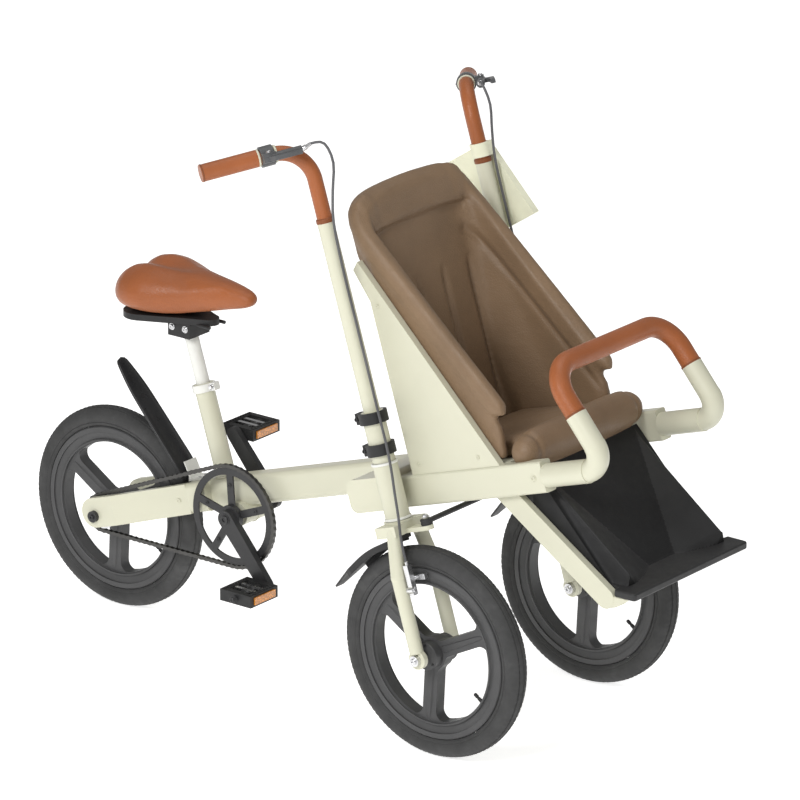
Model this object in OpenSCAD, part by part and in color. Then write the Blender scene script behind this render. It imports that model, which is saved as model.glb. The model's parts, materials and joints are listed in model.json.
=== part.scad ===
// Cargo tricycle with a child seat between two steered front wheels.
// X points forward, Y to the rider's left, Z up. The origin is on the ground, mid length.
// Frame coordinates: p runs forward along the sloping frame from the rear hub, q stands square to it.

/* [Wheels] */
// Outer diameter of a tyre
wheel_d = 400; // [360:1:420]
// Width of a tyre
tyre_w = 46; // [40:1:54]
// Height of a tyre's section over the rim
tyre_h = 38; // [34:1:44]
// Width of a rim
rim_w = 34; // [28:1:38]
// Depth of the rim's ring round the windows
rim_ring = 30; // [28:1:40]
// Width of a rim spoke
spoke_w = 30; // [24:1:44]
// Thickness of a rim spoke
spoke_t = 24; // [16:1:28]
// Angle of the first rim spoke over level
spoke_angle = -93; // [-120:1:-60]
// Corner radius of the rim windows
window_corner_r = 18; // [6:1:22]
// Diameter of a wheel hub
hub_d = 50; // [44:1:70]
// Width of a front hub
front_hub_w = 66; // [60:1:70]
// Width of the rear hub
rear_hub_w = 88; // [80:1:92]
// Diameter of the wheel axles
axle_d = 12; // [10:1:14]

/* [Layout] */
// Distance between the rear axle and the front axles
wheelbase = 946; // [900:1:1000]
// Distance between the two front wheel centres
track = 466; // [450:1:490]
// Slope of the frame, and lean of the steering axis
frame_tilt = 17.4; // [16:0.1:18.5]
// Distance of the front hubs ahead of the steering axis
rake = 12; // [8:1:16]

/* [Frame] */
// Height of the main tube, stays and arms
tube_h = 58; // [52:1:62]
// Width of the main tube
tube_w = 50; // [44:1:54]
// Height of the frame's middle over the hub line
frame_q = 6; // [4:1:8]
// Corner radius of the frame tubes
tube_corner_r = 10; // [4:1:14]
// Thickness of a rear stay
stay_t = 14; // [10:1:14]
// Gap between the stays at the rear axle
stay_gap = 124; // [122:1:132]
// Length of a stay behind the axle
stay_tail = 30; // [24:1:36]
// Gap between the rear tyre and the yoke ahead of it
yoke_gap = 16; // [13:1:22]
// Length of the yoke that joins the stays to the main tube
yoke_l = 46; // [40:1:52]
// Width of the yoke
yoke_w = 84; // [78:1:86]
// Length of the cross beam, front to rear
beam_l = 96; // [84:1:104]
// Height of the cross beam
beam_h = 62; // [60:1:66]
// Height of the cross beam's middle over the hub line
beam_q = 14; // [11:1:16]
// Distance between the cross beam's ends
beam_w = 446; // [430:1:460]
// Outer diameter of a head tube
head_tube_d = 46; // [42:1:48]
// Height of a head tube's lower end over the hub line
head_low_q = -32; // [-36:1:-30]
// Length of a head tube
head_tube_l = 107; // [100:1:112]
// Diameter of a steerer
steerer_d = 30; // [26:1:32]

/* [Seat support] */
// Distance between the middles of the two arms
arm_spacing = 350; // [344:1:356]
// Width of an arm
arm_w = 30; // [26:1:34]
// Length of an arm in front of the cross beam
arm_l = 336; // [326:1:346]
// Thickness of a side panel
panel_t = 14; // [10:1:16]
// Distance from the cross beam to a side panel's rear edge
panel_set = 35; // [30:1:50]
// Length of a side panel along the arm
panel_l = 206; // [190:1:208]
// Drop of a side panel's top under the top of the wing
panel_drop = 62; // [54:1:90]
// Height of the tab at the top of a side panel
panel_tab_h = 75; // [60:1:100]
// Reach of the side panel's tab back from its rear edge
panel_tab_l = 22; // [16:1:30]
// Thickness of the seat pan
pan_t = 14; // [8:1:18]
// Length of the seat pan
pan_l = 246; // [230:1:250]

/* [Grab bar] */
// Diameter of the grab bar
grab_d = 38; // [30:1:42]
// Length of the grab bar in front of the arm, to its corner
grab_reach = 140; // [120:1:160]
// Height of the grab bar's cross piece, square to the frame
grab_h = 190; // [160:1:210]
// Lean of the grab bar back from square
grab_lean = 23; // [18:0.5:28]
// Diameter of the grab bar's stubs on the arms
grab_stub_d = 44; // [42:1:48]
// Radius of the grab bar's lower bends
grab_bend_r = 32; // [26:1:40]
// Radius of the grab bar's upper bends
grab_top_r = 60; // [44:1:70]
// Length of the bare stretch above the grab bar's corner
grab_bare_l = 112; // [90:1:120]

/* [Child seat] */
// Thickness of the back pad
back_t = 28; // [20:1:40]
// Height of the child seat's top over the pan
seat_h = 526; // [500:1:550]
// Thickness of a wing pad
wing_t = 33; // [26:1:36]
// Height over the pan where a wing's rim leaves the head
wing_top_h = 462; // [430:1:480]
// Height over the pan where a wing's rim ends
wing_tip_h = 112; // [100:1:140]
// Distance of the wing's tip in front of the back's rear face
wing_tip_l = 262; // [240:1:270]
// Distance of the wing's rim in front of the back's rear face, at the head
wing_head_l = 43; // [34:1:50]
// Diameter of a wing's bolster
bolster_d = 48; // [44:1:52]
// Distance of a wing's bolster outward from the wing's inner face
bolster_set = 4; // [3:1:6]
// Height of the seat cushion over the pan
cushion_h = 40; // [30:1:60]
// Diameter of the front roll
roll_d = 74; // [60:1:78]
// Width of the front roll
roll_w = 372; // [350:1:380]
// Height of the front roll's middle over the pan
roll_rise = 14; // [8:1:20]
// Depth of the child seat's head band in front of the back pad
head_t = 20; // [12:1:26]
// Height of the head band
head_h = 86; // [70:1:100]
// Rounding of the child seat's top corners
head_corner_r = 60; // [40:1:90]

/* [Footrest] */
// Slope of the foot rails down from level
rail_slope = 33.5; // [30:0.5:36]
// Height of a foot rail
rail_h = 40; // [34:1:44]
// Thickness of a foot rail
rail_t = 14; // [10:1:16]
// Distance between the foot rails' outer faces
rail_w = 344; // [336:1:350]
// Distance of the rails' upper end behind the arms' front end
rail_set = 90; // [80:1:100]
// Length of a foot rail
rail_l = 268; // [255:1:280]
// Reach of the foot tray behind the arms' front end
tray_back = 50; // [40:1:58]
// Half width of the foot tray's floor at its foot
valley_y = 26; // [16:1:40]
// Width of the foot tray's side rims
tray_rim = 14; // [8:1:18]
// Level reach of the tray's foot in front of the arms
tray_reach = 180; // [170:1:182]
// Drop of the tray's foot below the arms' front end
tray_drop = 133; // [125:1:140]
// Depth of the foot plate's top below the arms' front end
plate_drop = 160; // [155:1:170]
// Reach of the foot plate in front of the arms
plate_reach = 185; // [176:1:200]
// Thickness of the foot plate
plate_t = 16; // [10:1:18]

/* [Rider seat] */
// Outer diameter of the seat tube
seat_tube_d = 38; // [34:1:42]
// Distance of the seat tube from the rear hub
seat_tube_p = 288; // [284:1:294]
// Height of the seat tube's top over the hub line
seat_tube_top = 217; // [200:1:230]
// Diameter of the seat post
post_d = 27; // [24:1:30]
// Height of the seat post's top over the hub line
post_top = 330; // [310:1:380]
// Length of the saddle
saddle_l = 306; // [280:1:315]
// Width of the saddle
saddle_w = 194; // [170:1:210]
// Height of the saddle pad
saddle_h = 95; // [84:1:100]

/* [Drive] */
// Distance of the crank axis from the rear hub
crank_p = 327; // [322:1:332]
// Depth of the crank axis below the hub line
crank_q = -34; // [-38:1:-32]
// Distance of the chain line from the middle
chain_y = 52; // [50:1:53]
// Radius of the chainring
ring_r = 95; // [85:1:97]
// Radius of the rear sprocket
sprocket_r = 31; // [29:1:33]
// Width of the chain
chain_w = 8; // [6:1:8]
// Height of the chain
chain_h = 8; // [6:1:9]
// Distance between two chain pins
link_l = 12.7; // [12:0.1:13.5]
// Depth of the waist between two chain pins
link_waist = 1.4; // [0.8:0.1:1.8]
// Length of a crank
crank_l = 145; // [130:1:152]
// Angle of the right crank above level
crank_angle = -50; // [-70:1:-30]
// Distance of the cranks' inner faces from the middle
crank_y = 62; // [60:1:66]
// Thickness of a crank
crank_t = 13; // [10:1:14]
// Diameter of the crank spindle
spindle_d = 18; // [16:1:20]
// Length of a pedal, front to rear
pedal_l = 74; // [66:1:84]
// Width of a pedal
pedal_w = 80; // [74:1:92]
// Thickness of a pedal
pedal_t = 23; // [20:1:26]
// Diameter of a pedal pin
pedal_pin_d = 12; // [10:1:14]

/* [Steering] */
// Distance of a fork leg's middle from the wheel's middle
leg_y = 52; // [50:1:56]
// Diameter of a fork leg
leg_d = 26; // [22:1:28]
// Thickness of a fork's dropout lug
lug_t = 10; // [8:1:12]
// Height of a fork crown
crown_h = 24; // [20:1:26]
// Height of the fork crown's top over the hub line
crown_q = -33; // [-37:1:-32.5]
// Distance of a tie rod pin ahead of the steering axis
knuckle_l = 64; // [63:1:68]
// Thickness of a steering arm
knuckle_t = 8; // [6:1:9]
// Diameter of the tie rod pins
tie_pin_d = 10; // [8:1:12]
// Diameter of the tie rod
tie_rod_d = 12; // [10:1:14]
// Diameter of a column's socket
socket_d = 42; // [40:1:44]
// Height of a column's socket over the head tube
socket_l = 94; // [88:1:104]
// Diameter of a column
column_d = 31; // [28:1:33]
// Height of a column's top over the hub line
column_top = 522; // [490:1:540]
// Height of a clamp
clamp_h = 21; // [16:1:24]
// Diameter of a clamp
clamp_d = 54; // [50:1:58]
// Diameter of a bar
bar_d = 28; // [24:1:30]
// Height of a bar's corner over the column's top
bar_rise = 142; // [132:1:152]
// Length of a bar from its corner to its end
bar_l = 200; // [192:1:215]
// Diameter of a grip
grip_d = 32; // [30:1:34]
// Length of a grip
grip_l = 108; // [96:1:108]
// Radius of a bar's bend
bar_bend_r = 64; // [56:1:70]
// Angle of a bar outward from straight back
bar_flare = 53; // [45:1:60]
// Distance of a brake lever's clamp from the bar's corner
lever_set = 76; // [72:1:90]

/* [Fenders] */
// Gap between the rear tyre and its fender
rear_fender_gap = 8; // [7:1:9]
// Gap between a front tyre and its fender
front_fender_gap = 14; // [12:1:15]
// Thickness of a fender
fender_t = 3.5; // [2.5:0.5:4]
// Width of a fender
fender_w = 62; // [56:1:68]
// Depth of a fender's side flanges
fender_flange = 12; // [8:1:14]
// Length of a front fender's straight tail
front_tail_l = 95; // [80:1:110]
// Width of a fender's tail at its tip
fender_tip_w = 20; // [12:1:40]
// Angle over level where the rear fender's straight tail begins
rear_fender_angle = 42.5; // [38:0.5:46]
// Length of the rear fender's straight tail
rear_tail_l = 219; // [180:1:225]

/* [Fits] */
// Radial clearance of a shaft in its hole
fit = 0.05; // [0.02:0.01:0.09]
// Gap between two pieces that lie against each other
seat_gap = 0.3; // [0.2:0.1:0.5]
// Gap between the head tubes and what turns against them
headset_gap = 0.5; // [0.4:0.1:0.8]

/* [Hidden] */
$fn = 64;

cream = [0.90, 0.88, 0.78];
tan_hide = [0.72, 0.36, 0.20];
brown_hide = [0.36, 0.27, 0.20];
black = [0.12, 0.12, 0.12];
silver = [0.75, 0.75, 0.76];
amber = [0.90, 0.52, 0.12];

wheel_r = wheel_d / 2;
rim_d = wheel_d - 2 * tyre_h;
window_d = rim_d - 2 * rim_ring;
axle_r = axle_d / 2;
tilt_cos = cos(frame_tilt);
tilt_sin = sin(frame_tilt);

// Front hub and steering axis in frame coordinates
hub_p = wheelbase * tilt_cos;
hub_q = -wheelbase * tilt_sin;
axis_p = hub_p - rake;
axis_y = track / 2;

// Frame levels and stations
yoke_p = wheel_r + yoke_gap;
tube_low = frame_q - tube_h / 2;
tube_high = frame_q + tube_h / 2;
head_weld = 5;
beam_front = axis_p - head_tube_d / 2 + head_weld;
beam_rear = beam_front - beam_l;
arm_end = beam_front + arm_l;
panel_h = wing_top_h - panel_drop;
arm_in = arm_spacing / 2 - arm_w / 2;
arm_out = arm_spacing / 2 + arm_w / 2;

// Level point at the lower front corner of the arms, measured from the rear hub's ground point
arm_tip_x = arm_end * tilt_cos - tube_low * tilt_sin;
arm_tip_z = wheel_r + arm_end * tilt_sin + tube_low * tilt_cos;
mid_x = (arm_tip_x + plate_reach - wheel_r) / 2;

// Child seat stations
seat_rear = beam_front + 1;
seat_floor = tube_high + seat_gap;
panel_in = arm_spacing / 2 - panel_t / 2 + 4;
wing_out = panel_in - seat_gap;
wing_in = wing_out - wing_t;
pan_end = beam_front + pan_l;
roll_p = pan_end + roll_d / 2 + 2;
rail_in = rail_w / 2 - rail_t;

// Steering stations
head_high_q = head_low_q + head_tube_l;
socket_low = head_high_q + headset_gap;
socket_high = socket_low + socket_l;
steerer_top = socket_low + socket_l * 0.7;
corner_q = column_top + bar_rise;
crown_low = crown_q - crown_h;
brake_top = 174;

// Brake cable from the lever to the rim brake: [ahead of the axis, outward, up from the hub line]
cable_d = 5;
cable_route = [
  [13, 29.3, 662], [24, 14, 668], [42, 0, 662], [50, -2, 625], [36, 2, 575], [24, 6, 520], [21, 8, 440],
  [21, 8, 340], [22, 9, 240], [28, 16, 190], [30, 18, 155], [30, 18, 105], [34, 26, 60], [34, 32, 20],
  [33, 36, -20], [33, 42, -50], [34, 46, -76], [34, 46, hub_q + brake_top + 0.5]
];

// Placing

// Frame coordinates to the part's own
module in_frame() {
  translate([-mid_x, 0, wheel_r]) rotate([0, -frame_tilt, 0]) children();
}

// Level coordinates from the arms' lower front corner
module at_arm_tip() {
  translate([arm_tip_x - mid_x, 0, arm_tip_z]) children();
}

module at_axis() {
  translate([axis_p, axis_y, 0]) children();
}

module at_front_hub() {
  translate([hub_p, axis_y, hub_q]) children();
}

module on_left() {
  in_frame() children();
}

module on_right() {
  in_frame() mirror([0, 1, 0]) children();
}

// Both sides of the frame's middle plane
module both() {
  children();
  mirror([0, 1, 0]) children();
}

// Shapes

// An outline in p and q, extruded across from y0 to y1
module across(y0, y1) {
  translate([0, y1, 0]) rotate([90, 0, 0]) linear_extrude(y1 - y0) children();
}

// A cylinder across from y0 to y1
module pin_across(r, y0, y1) {
  translate([0, y0, 0]) rotate([-90, 0, 0]) cylinder(r = r, h = y1 - y0);
}

// A box with the edges along p rounded
module bar_along(p0, p1, y0, y1, q0, q1, r) {
  translate([p0, 0, 0]) rotate([90, 0, 90]) linear_extrude(p1 - p0) rounded_box(y0, y1, q0, q1, r);
}

module rounded_box(a0, a1, b0, b1, r) {
  translate([a0 + r, b0]) square([a1 - a0 - 2 * r, b1 - b0]);
  translate([a0, b0 + r]) square([a1 - a0, b1 - b0 - 2 * r]);
  for (a = [a0 + r, a1 - r], b = [b0 + r, b1 - r]) translate([a, b]) circle(r = r);
}

function unit(v) = v / norm(v);

module rod(a, b, r) {
  d = b - a;
  translate(a) rotate([0, acos(d.z / norm(d)), atan2(d.y, d.x)]) cylinder(r = r, h = norm(d));
}

// A round tube that starts along Z: each step is [straight length, bend angle towards X, bend radius]
module tube_run(r, steps, i = 0) {
  length = steps[i][0];
  angle = steps[i][1];
  bend_r = steps[i][2];
  cylinder(r = r, h = length);
  if (angle > 0) translate([0, 0, length]) {
    translate([bend_r, 0, 0]) rotate([90, 0, 180]) rotate_extrude(angle = angle) translate([bend_r, 0]) circle(r = r);
    if (i < len(steps) - 1)
      translate([bend_r, 0, 0]) rotate([0, angle, 0]) translate([-bend_r, 0, 0]) tube_run(r, steps, i + 1);
  }
}

// A smooth curve through the route's points, with steps to each stretch
function curve_point(a, b, c, d, t) =
  0.5 * (2 * b + (c - a) * t + (2 * a - 5 * b + 4 * c - d) * t * t + (3 * b - a - 3 * c + d) * t * t * t);
function smooth_route(pts, steps) = concat(
  [for (i = [0 : len(pts) - 2], k = [0 : steps - 1])
    curve_point(pts[max(i - 1, 0)], pts[i], pts[i + 1], pts[min(i + 2, len(pts) - 1)], k / steps)],
  [pts[len(pts) - 1]]);

// A flexible round cord swept along a route
module cord(route, r, sides) {
  rings = len(route);
  function heading(i) = unit(route[min(i + 1, rings - 1)] - route[max(i - 1, 0)]);
  function first(i) = unit(cross(heading(i), [1, 1, 0]));
  function second(i) = cross(heading(i), first(i));
  polyhedron(
    points = [for (i = [0 : rings - 1], k = [0 : sides - 1])
      route[i] + r * (cos(360 * k / sides) * first(i) + sin(360 * k / sides) * second(i))],
    faces = concat(
      [[for (k = [sides - 1 : -1 : 0]) k]],
      [for (i = [0 : rings - 2], k = [0 : sides - 1])
        [i * sides + k, i * sides + (k + 1) % sides, (i + 1) * sides + (k + 1) % sides, (i + 1) * sides + k]],
      [[for (k = [0 : sides - 1]) (rings - 1) * sides + k]]),
    convexity = 6);
}

// Frame

module main_tube() color(cream) in_frame() {
  shell_r = 23;
  shell_w = 74;
  difference() {
    union() {
      bar_along(yoke_p + yoke_l, beam_rear, -tube_w / 2, tube_w / 2, tube_low, tube_high, tube_corner_r);
      bar_along(yoke_p, yoke_p + yoke_l, -yoke_w / 2, yoke_w / 2, tube_low, tube_high, tube_corner_r);
      translate([crank_p, 0, crank_q]) pin_across(shell_r, -shell_w / 2, shell_w / 2);
      translate([seat_tube_p, 0, frame_q]) cylinder(d = seat_tube_d, h = seat_tube_top - frame_q);
    }
    translate([crank_p, 0, crank_q]) pin_across(spindle_d / 2 + fit, -shell_w, shell_w);
    translate([seat_tube_p, 0, tube_high]) cylinder(r = post_d / 2 + fit, h = seat_tube_top);
  }
}

module stay() {
  bend_p = 50;
  y_rear = stay_gap / 2;
  y_front = yoke_w / 2 - stay_t;
  nose_r = tube_h / 2;
  difference() {
    intersection() {
      translate([0, 0, tube_low]) linear_extrude(tube_h) polygon([
        [-stay_tail, y_rear], [bend_p, y_rear], [yoke_p, y_front],
        [yoke_p, y_front + stay_t], [bend_p, y_rear + stay_t], [-stay_tail, y_rear + stay_t]
      ]);
      across(0, stay_gap) union() {
        translate([-stay_tail + nose_r, frame_q]) circle(r = nose_r);
        translate([-stay_tail + nose_r, tube_low]) square([yoke_p + stay_tail - nose_r, tube_h]);
      }
    }
    pin_across(axle_r + fit, 0, stay_gap);
  }
}

module right_stay() color(cream) on_right() stay();

module left_stay() color(cream) on_left() stay();

module cross_beam() color(cream) in_frame() {
  end_r = 16;
  difference() {
    union() {
      across(-beam_w / 2, beam_w / 2)
        rounded_box(beam_rear, beam_front, beam_q - beam_h / 2, beam_q + beam_h / 2, end_r);
      both() at_axis() translate([0, 0, head_low_q]) cylinder(d = head_tube_d, h = head_tube_l);
    }
    both() at_axis() translate([0, 0, head_low_q - 1]) cylinder(r = steerer_d / 2 + fit, h = head_tube_l + 2);
  }
}

module arm() {
  bar_along(beam_front, arm_end, arm_in, arm_out, tube_low, tube_high, tube_corner_r / 2);
}

module right_arm() color(cream) on_right() arm();

module left_arm() color(cream) on_left() arm();

module seat_pan() color(cream) in_frame() {
  translate([beam_front, -arm_in, tube_high - pan_t]) cube([pan_l, 2 * arm_in, pan_t]);
}

module side_panel() {
  rear = beam_front + panel_set;
  tip_l = 14;
  across(panel_in, panel_in + panel_t) polygon([
    [rear, tube_high], [rear + panel_l, tube_high], [rear - panel_tab_l + tip_l, tube_high + panel_h],
    [rear - panel_tab_l, tube_high + panel_h - tip_l], [rear, tube_high + panel_h - panel_tab_h]
  ]);
}

module right_side_panel() color(cream) on_right() side_panel();

module left_side_panel() color(cream) on_left() side_panel();

// Grab bar: a stub forward from each arm, a bend, a leg up, then across
grab_y = arm_spacing / 2;
grab_leg_l = grab_h / cos(grab_lean);

module at_grab_corner() {
  translate([arm_end + grab_reach, grab_y, frame_q]) rotate([0, -grab_lean, 0]) children();
}

module grab_bar() color(cream) in_frame() both() {
  leg_over = 2;
  bend_over = 3;
  lap_l = 3;
  lap_angle = 2;
  turn = 90 + grab_lean;
  tangent = grab_bend_r * tan(turn / 2);
  translate([arm_end, grab_y, frame_q]) rotate([0, 90, 0])
    cylinder(d = grab_stub_d, h = grab_reach - tangent + lap_l);
  translate([arm_end + grab_reach - tangent, grab_y, frame_q + grab_bend_r]) rotate([90, 90 + lap_angle, 0])
    rotate_extrude(angle = turn + 2 * lap_angle) translate([grab_bend_r, 0]) circle(d = grab_d + bend_over);
  at_grab_corner() translate([0, 0, tangent - lap_l])
    cylinder(d = grab_d + leg_over, h = grab_bare_l - tangent + lap_l);
}

module grab_sleeve() color(tan_hide) in_frame() {
  at_grab_corner() translate([0, 0, grab_bare_l]) rotate([0, 0, -90]) tube_run(grab_d / 2, [
    [grab_leg_l - grab_bare_l - grab_top_r, 90, grab_top_r],
    [arm_spacing - 2 * grab_top_r, 90, grab_top_r],
    [grab_leg_l - grab_bare_l - grab_top_r, 0, 0]
  ]);
}

// Child seat

module seat_back() color(brown_hide) in_frame() {
  half = wing_in - seat_gap;
  front = seat_rear + back_t;
  top = seat_floor + seat_h;
  slope_h = 20;
  round_l = 12;
  across(-half, half) polygon([
    [seat_rear, seat_floor], [front, seat_floor], [front, top - head_h], [front + head_t, top - head_h + slope_h],
    [front + head_t, top - round_l], [front + head_t - round_l, top], [seat_rear + round_l, top],
    [seat_rear, top - round_l]
  ]);
}

wing_head = [seat_rear + wing_head_l, seat_floor + wing_top_h];
wing_tip = [seat_rear + wing_tip_l, seat_floor + wing_tip_h];
rim_way = unit(wing_tip - wing_head);
rim_out = [-rim_way.y, rim_way.x];

module wing() {
  bolster_r = bolster_d / 2;
  bolster_y = wing_in + bolster_set + bolster_r;
  cap_r = bolster_r - 2;
  top_set = 10;
  rear_corner = 32;
  corner_h = wing_top_h - bolster_d;
  a = wing_head - rim_out * bolster_r;
  b = wing_tip - rim_out * bolster_r;
  difference() {
    intersection() {
      across(wing_in, wing_out) polygon([
        [seat_rear, seat_floor], [roll_p - roll_d / 2 - bolster_set, seat_floor], b, a,
        [wing_head.x, seat_floor + seat_h - top_set], [seat_rear + top_set, seat_floor + seat_h - top_set]
      ]);
      translate([seat_rear, 0, seat_floor]) rotate([90, 0, 90]) linear_extrude(wing_tip_l) head_outline();
    }
    translate([seat_rear, wing_out, seat_floor - 1]) linear_extrude(corner_h)
      polygon([[-1, 1], [-1, -wing_t + bolster_set], [rear_corner, 1]]);
  }
  rod([a.x, bolster_y, a.y], [b.x, bolster_y, b.y], bolster_r);
  for (end = [a, b]) translate([end.x, bolster_y, end.y]) sphere(r = cap_r);
}

// The child seat's front outline, one half, with the top corner rounded
module head_outline() {
  square([wing_out - head_corner_r, seat_h]);
  square([wing_out, seat_h - head_corner_r]);
  translate([wing_out - head_corner_r, seat_h - head_corner_r]) circle(r = head_corner_r);
}

module right_wing() color(brown_hide) on_right() wing();

module left_wing() color(brown_hide) on_left() wing();

module seat_cushion() color(brown_hide) in_frame() {
  half = wing_in - seat_gap;
  rear = seat_rear + back_t + seat_gap;
  roll_r = roll_d / 2;
  roll_q = tube_high + roll_rise;
  difference() {
    union() {
      translate([rear, -half, seat_floor]) cube([roll_p - rear, 2 * half, cushion_h]);
      translate([roll_p, 0, roll_q]) pin_across(roll_r, -roll_w / 2, roll_w / 2);
    }
    both() translate([roll_p - roll_d, arm_in - seat_gap, roll_q - roll_d])
      cube([2 * roll_d, roll_w, roll_d - roll_rise + seat_gap]);
    translate([rear, -arm_in, seat_floor - roll_d]) cube([pan_end - rear + seat_gap, 2 * arm_in, roll_d]);
  }
}

// Footrest, level and measured from the arms' lower front corner

module foot_rails() color(cream) difference() {
  at_arm_tip() both() translate([-rail_set, 0, -rail_set * tan(frame_tilt) - 12]) rotate([0, rail_slope, 0])
    across(rail_in, rail_in + rail_t) union() {
      translate([-rail_h, -rail_h / 2]) square([rail_l - rail_h / 2 + rail_h, rail_h]);
      translate([rail_l - rail_h / 2, 0]) circle(d = rail_h);
    }
  in_frame() translate([beam_front, -rail_w, tube_low]) cube([arm_l, 2 * rail_w, tube_h]);
}

module footrest() color(black) at_arm_tip() {
  half = rail_in - seat_gap;
  lip_y = half - tray_rim;
  shell_drop = 36;
  top_rise = 12;
  foot_set = 40;
  valley_set = 9;
  dot = 0.1;
  open_h = 60;
  difference() {
    across(-half, half) polygon([
      [-tray_back, top_rise], [tray_reach, -tray_drop], [tray_reach, -plate_drop],
      [tray_reach - foot_set, -plate_drop - plate_t], [-tray_back, -tray_back * tan(frame_tilt) - shell_drop]
    ]);
    hull() {
      for (side = [-1, 1]) {
        translate([-tray_back + valley_set, side * lip_y, top_rise - valley_set]) cube(dot);
        translate([-tray_back + valley_set, side * lip_y, open_h]) cube(dot);
        translate([tray_reach - valley_set, side * valley_y, -plate_drop + dot]) cube(dot);
        translate([tray_reach + dot, side * lip_y, -tray_drop - dot]) cube(dot);
        translate([tray_reach + open_h, side * lip_y, open_h]) cube(dot);
        translate([tray_reach + open_h, side * valley_y, -plate_drop + dot]) cube(dot);
      }
    }
  }
  foot_plate(half, tray_reach - foot_set);
}

module foot_plate(half, rear) {
  corner_r = 6;
  translate([0, 0, -plate_drop - plate_t]) linear_extrude(plate_t)
    rounded_box(rear, plate_reach, -half, half, corner_r);
}

// Rider's seat

module seat_post() color(silver) in_frame() {
  translate([seat_tube_p, 0, tube_high + 60]) cylinder(d = post_d, h = post_top - tube_high - 60);
}

module post_clamp() color(silver) in_frame() {
  ring_h = 15;
  ring_t = 4;
  ear_l = 14;
  ear_w = 16;
  translate([seat_tube_p, 0, seat_tube_top - ring_h - 1]) difference() {
    union() {
      cylinder(d = seat_tube_d + 2 * ring_t, h = ring_h);
      translate([seat_tube_d / 2, -ear_w / 2, 0]) cube([ear_l, ear_w, ring_h]);
    }
    translate([0, 0, -1]) cylinder(r = seat_tube_d / 2 + fit, h = ring_h + 2);
  }
}

// Level coordinates from the middle of the seat post's top
module at_post_top() {
  in_frame() translate([seat_tube_p, 0, post_top]) rotate([0, frame_tilt, 0]) children();
}

saddle_rear = -139;
saddle_lobe_r = 58;
saddle_lobe_y = saddle_w / 2 - saddle_lobe_r;
saddle_low = 26;

module saddle_base() color(black) at_post_top() {
  rail_r = 3.5;
  rail_y = 22;
  rail_rear = -90;
  rail_front = 70;
  plate_h = 12;
  lobe_r = 36;
  clamp_l = 52;
  clamp_w = 60;
  clamp_low = -16;
  plate_low = saddle_low - plate_h;
  difference() {
    union() {
      translate([-clamp_l / 2, -clamp_w / 2, clamp_low]) cube([clamp_l, clamp_w, plate_low - clamp_low]);
      both() rod([rail_rear, rail_y, plate_low], [rail_front, rail_y, plate_low], rail_r);
      hull() {
        both() translate([saddle_rear + saddle_lobe_r, saddle_lobe_y, plate_low]) cylinder(r = lobe_r, h = plate_h);
        translate([rail_front - lobe_r / 2, 0, plate_low]) cylinder(r = lobe_r / 2, h = plate_h);
      }
    }
    rotate([0, -frame_tilt, 0]) translate([0, 0, -clamp_l]) cylinder(r = post_d / 2 + fit, h = clamp_l);
  }
}

module saddle() color(tan_hide) at_post_top() {
  lobe_sink = 8;
  nose_r = 19;
  nose_drop = 14;
  valley_r = 46;
  valley_l = 110;
  valley_depth = 9;
  squash = (saddle_h + lobe_sink) / (2 * saddle_lobe_r);
  top = saddle_low + seat_gap + saddle_h;
  difference() {
    intersection() {
      hull() {
        both() translate([saddle_rear + saddle_lobe_r, saddle_lobe_y, top - squash * saddle_lobe_r])
          scale([1, 1, squash]) sphere(r = saddle_lobe_r, $fn = 32);
        translate([saddle_rear + saddle_l - nose_r, 0, top - nose_drop - nose_r]) sphere(r = nose_r, $fn = 32);
      }
      translate([saddle_rear, -saddle_w / 2, saddle_low + seat_gap]) cube([saddle_l, saddle_w, saddle_h]);
    }
    translate([saddle_rear - 1, 0, top + valley_r - valley_depth]) rotate([0, 86, 0]) cylinder(r = valley_r, h = valley_l);
  }
}

// Rear wheel and drive

module rim(hub_w) {
  bead_t = 8;
  rim_r = rim_d / 2;
  difference() {
    union() {
      rotate([90, 0, 0]) rotate_extrude() polygon([
        [window_d / 2 - 2, -spoke_t / 2], [rim_r - bead_t, -rim_w / 2], [rim_r, -rim_w / 2],
        [rim_r, rim_w / 2], [rim_r - bead_t, rim_w / 2], [window_d / 2 - 2, spoke_t / 2]
      ]);
      across(-spoke_t / 2, spoke_t / 2) difference() {
        circle(r = window_d / 2);
        for (k = [0 : 2]) rotate(spoke_angle - frame_tilt + 60 + 120 * k) rim_window();
      }
      pin_across(hub_d / 2, -hub_w / 2, hub_w / 2);
    }
    pin_across(axle_r + fit, -hub_w, hub_w);
  }
}

// The opening between two spokes, with round corners
module rim_window() {
  offset(r = window_corner_r) offset(delta = -window_corner_r) difference() {
    intersection() {
      circle(r = window_d / 2);
      polygon([[0, 0], [window_d, -window_d * tan(60)], [window_d, window_d * tan(60)]]);
    }
    for (side = [-60, 60]) rotate(side) translate([0, -spoke_w / 2]) square([window_d, spoke_w]);
    circle(r = hub_d / 2 + 6);
  }
}

module tyre() {
  tube_r = tyre_w / 2;
  rotate([90, 0, 0]) rotate_extrude($fn = 96) difference() {
    translate([wheel_r - tube_r, 0]) circle(r = tube_r);
    translate([rim_d / 2 + seat_gap - tyre_w, -tyre_w]) square([tyre_w, 2 * tyre_w]);
  }
}

module rear_rim() color(black) in_frame() rim(rear_hub_w);

module rear_tyre() color(black) in_frame() tyre();

module rear_sprocket() color(silver) in_frame() {
  disc_t = 4;
  boss_r = 20;
  difference() {
    union() {
      pin_across(sprocket_r, -chain_y - disc_t / 2, -chain_y + disc_t / 2);
      pin_across(boss_r, -chain_y - disc_t, -rear_hub_w / 2);
    }
    pin_across(axle_r + fit, -stay_gap, 0);
  }
}

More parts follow.
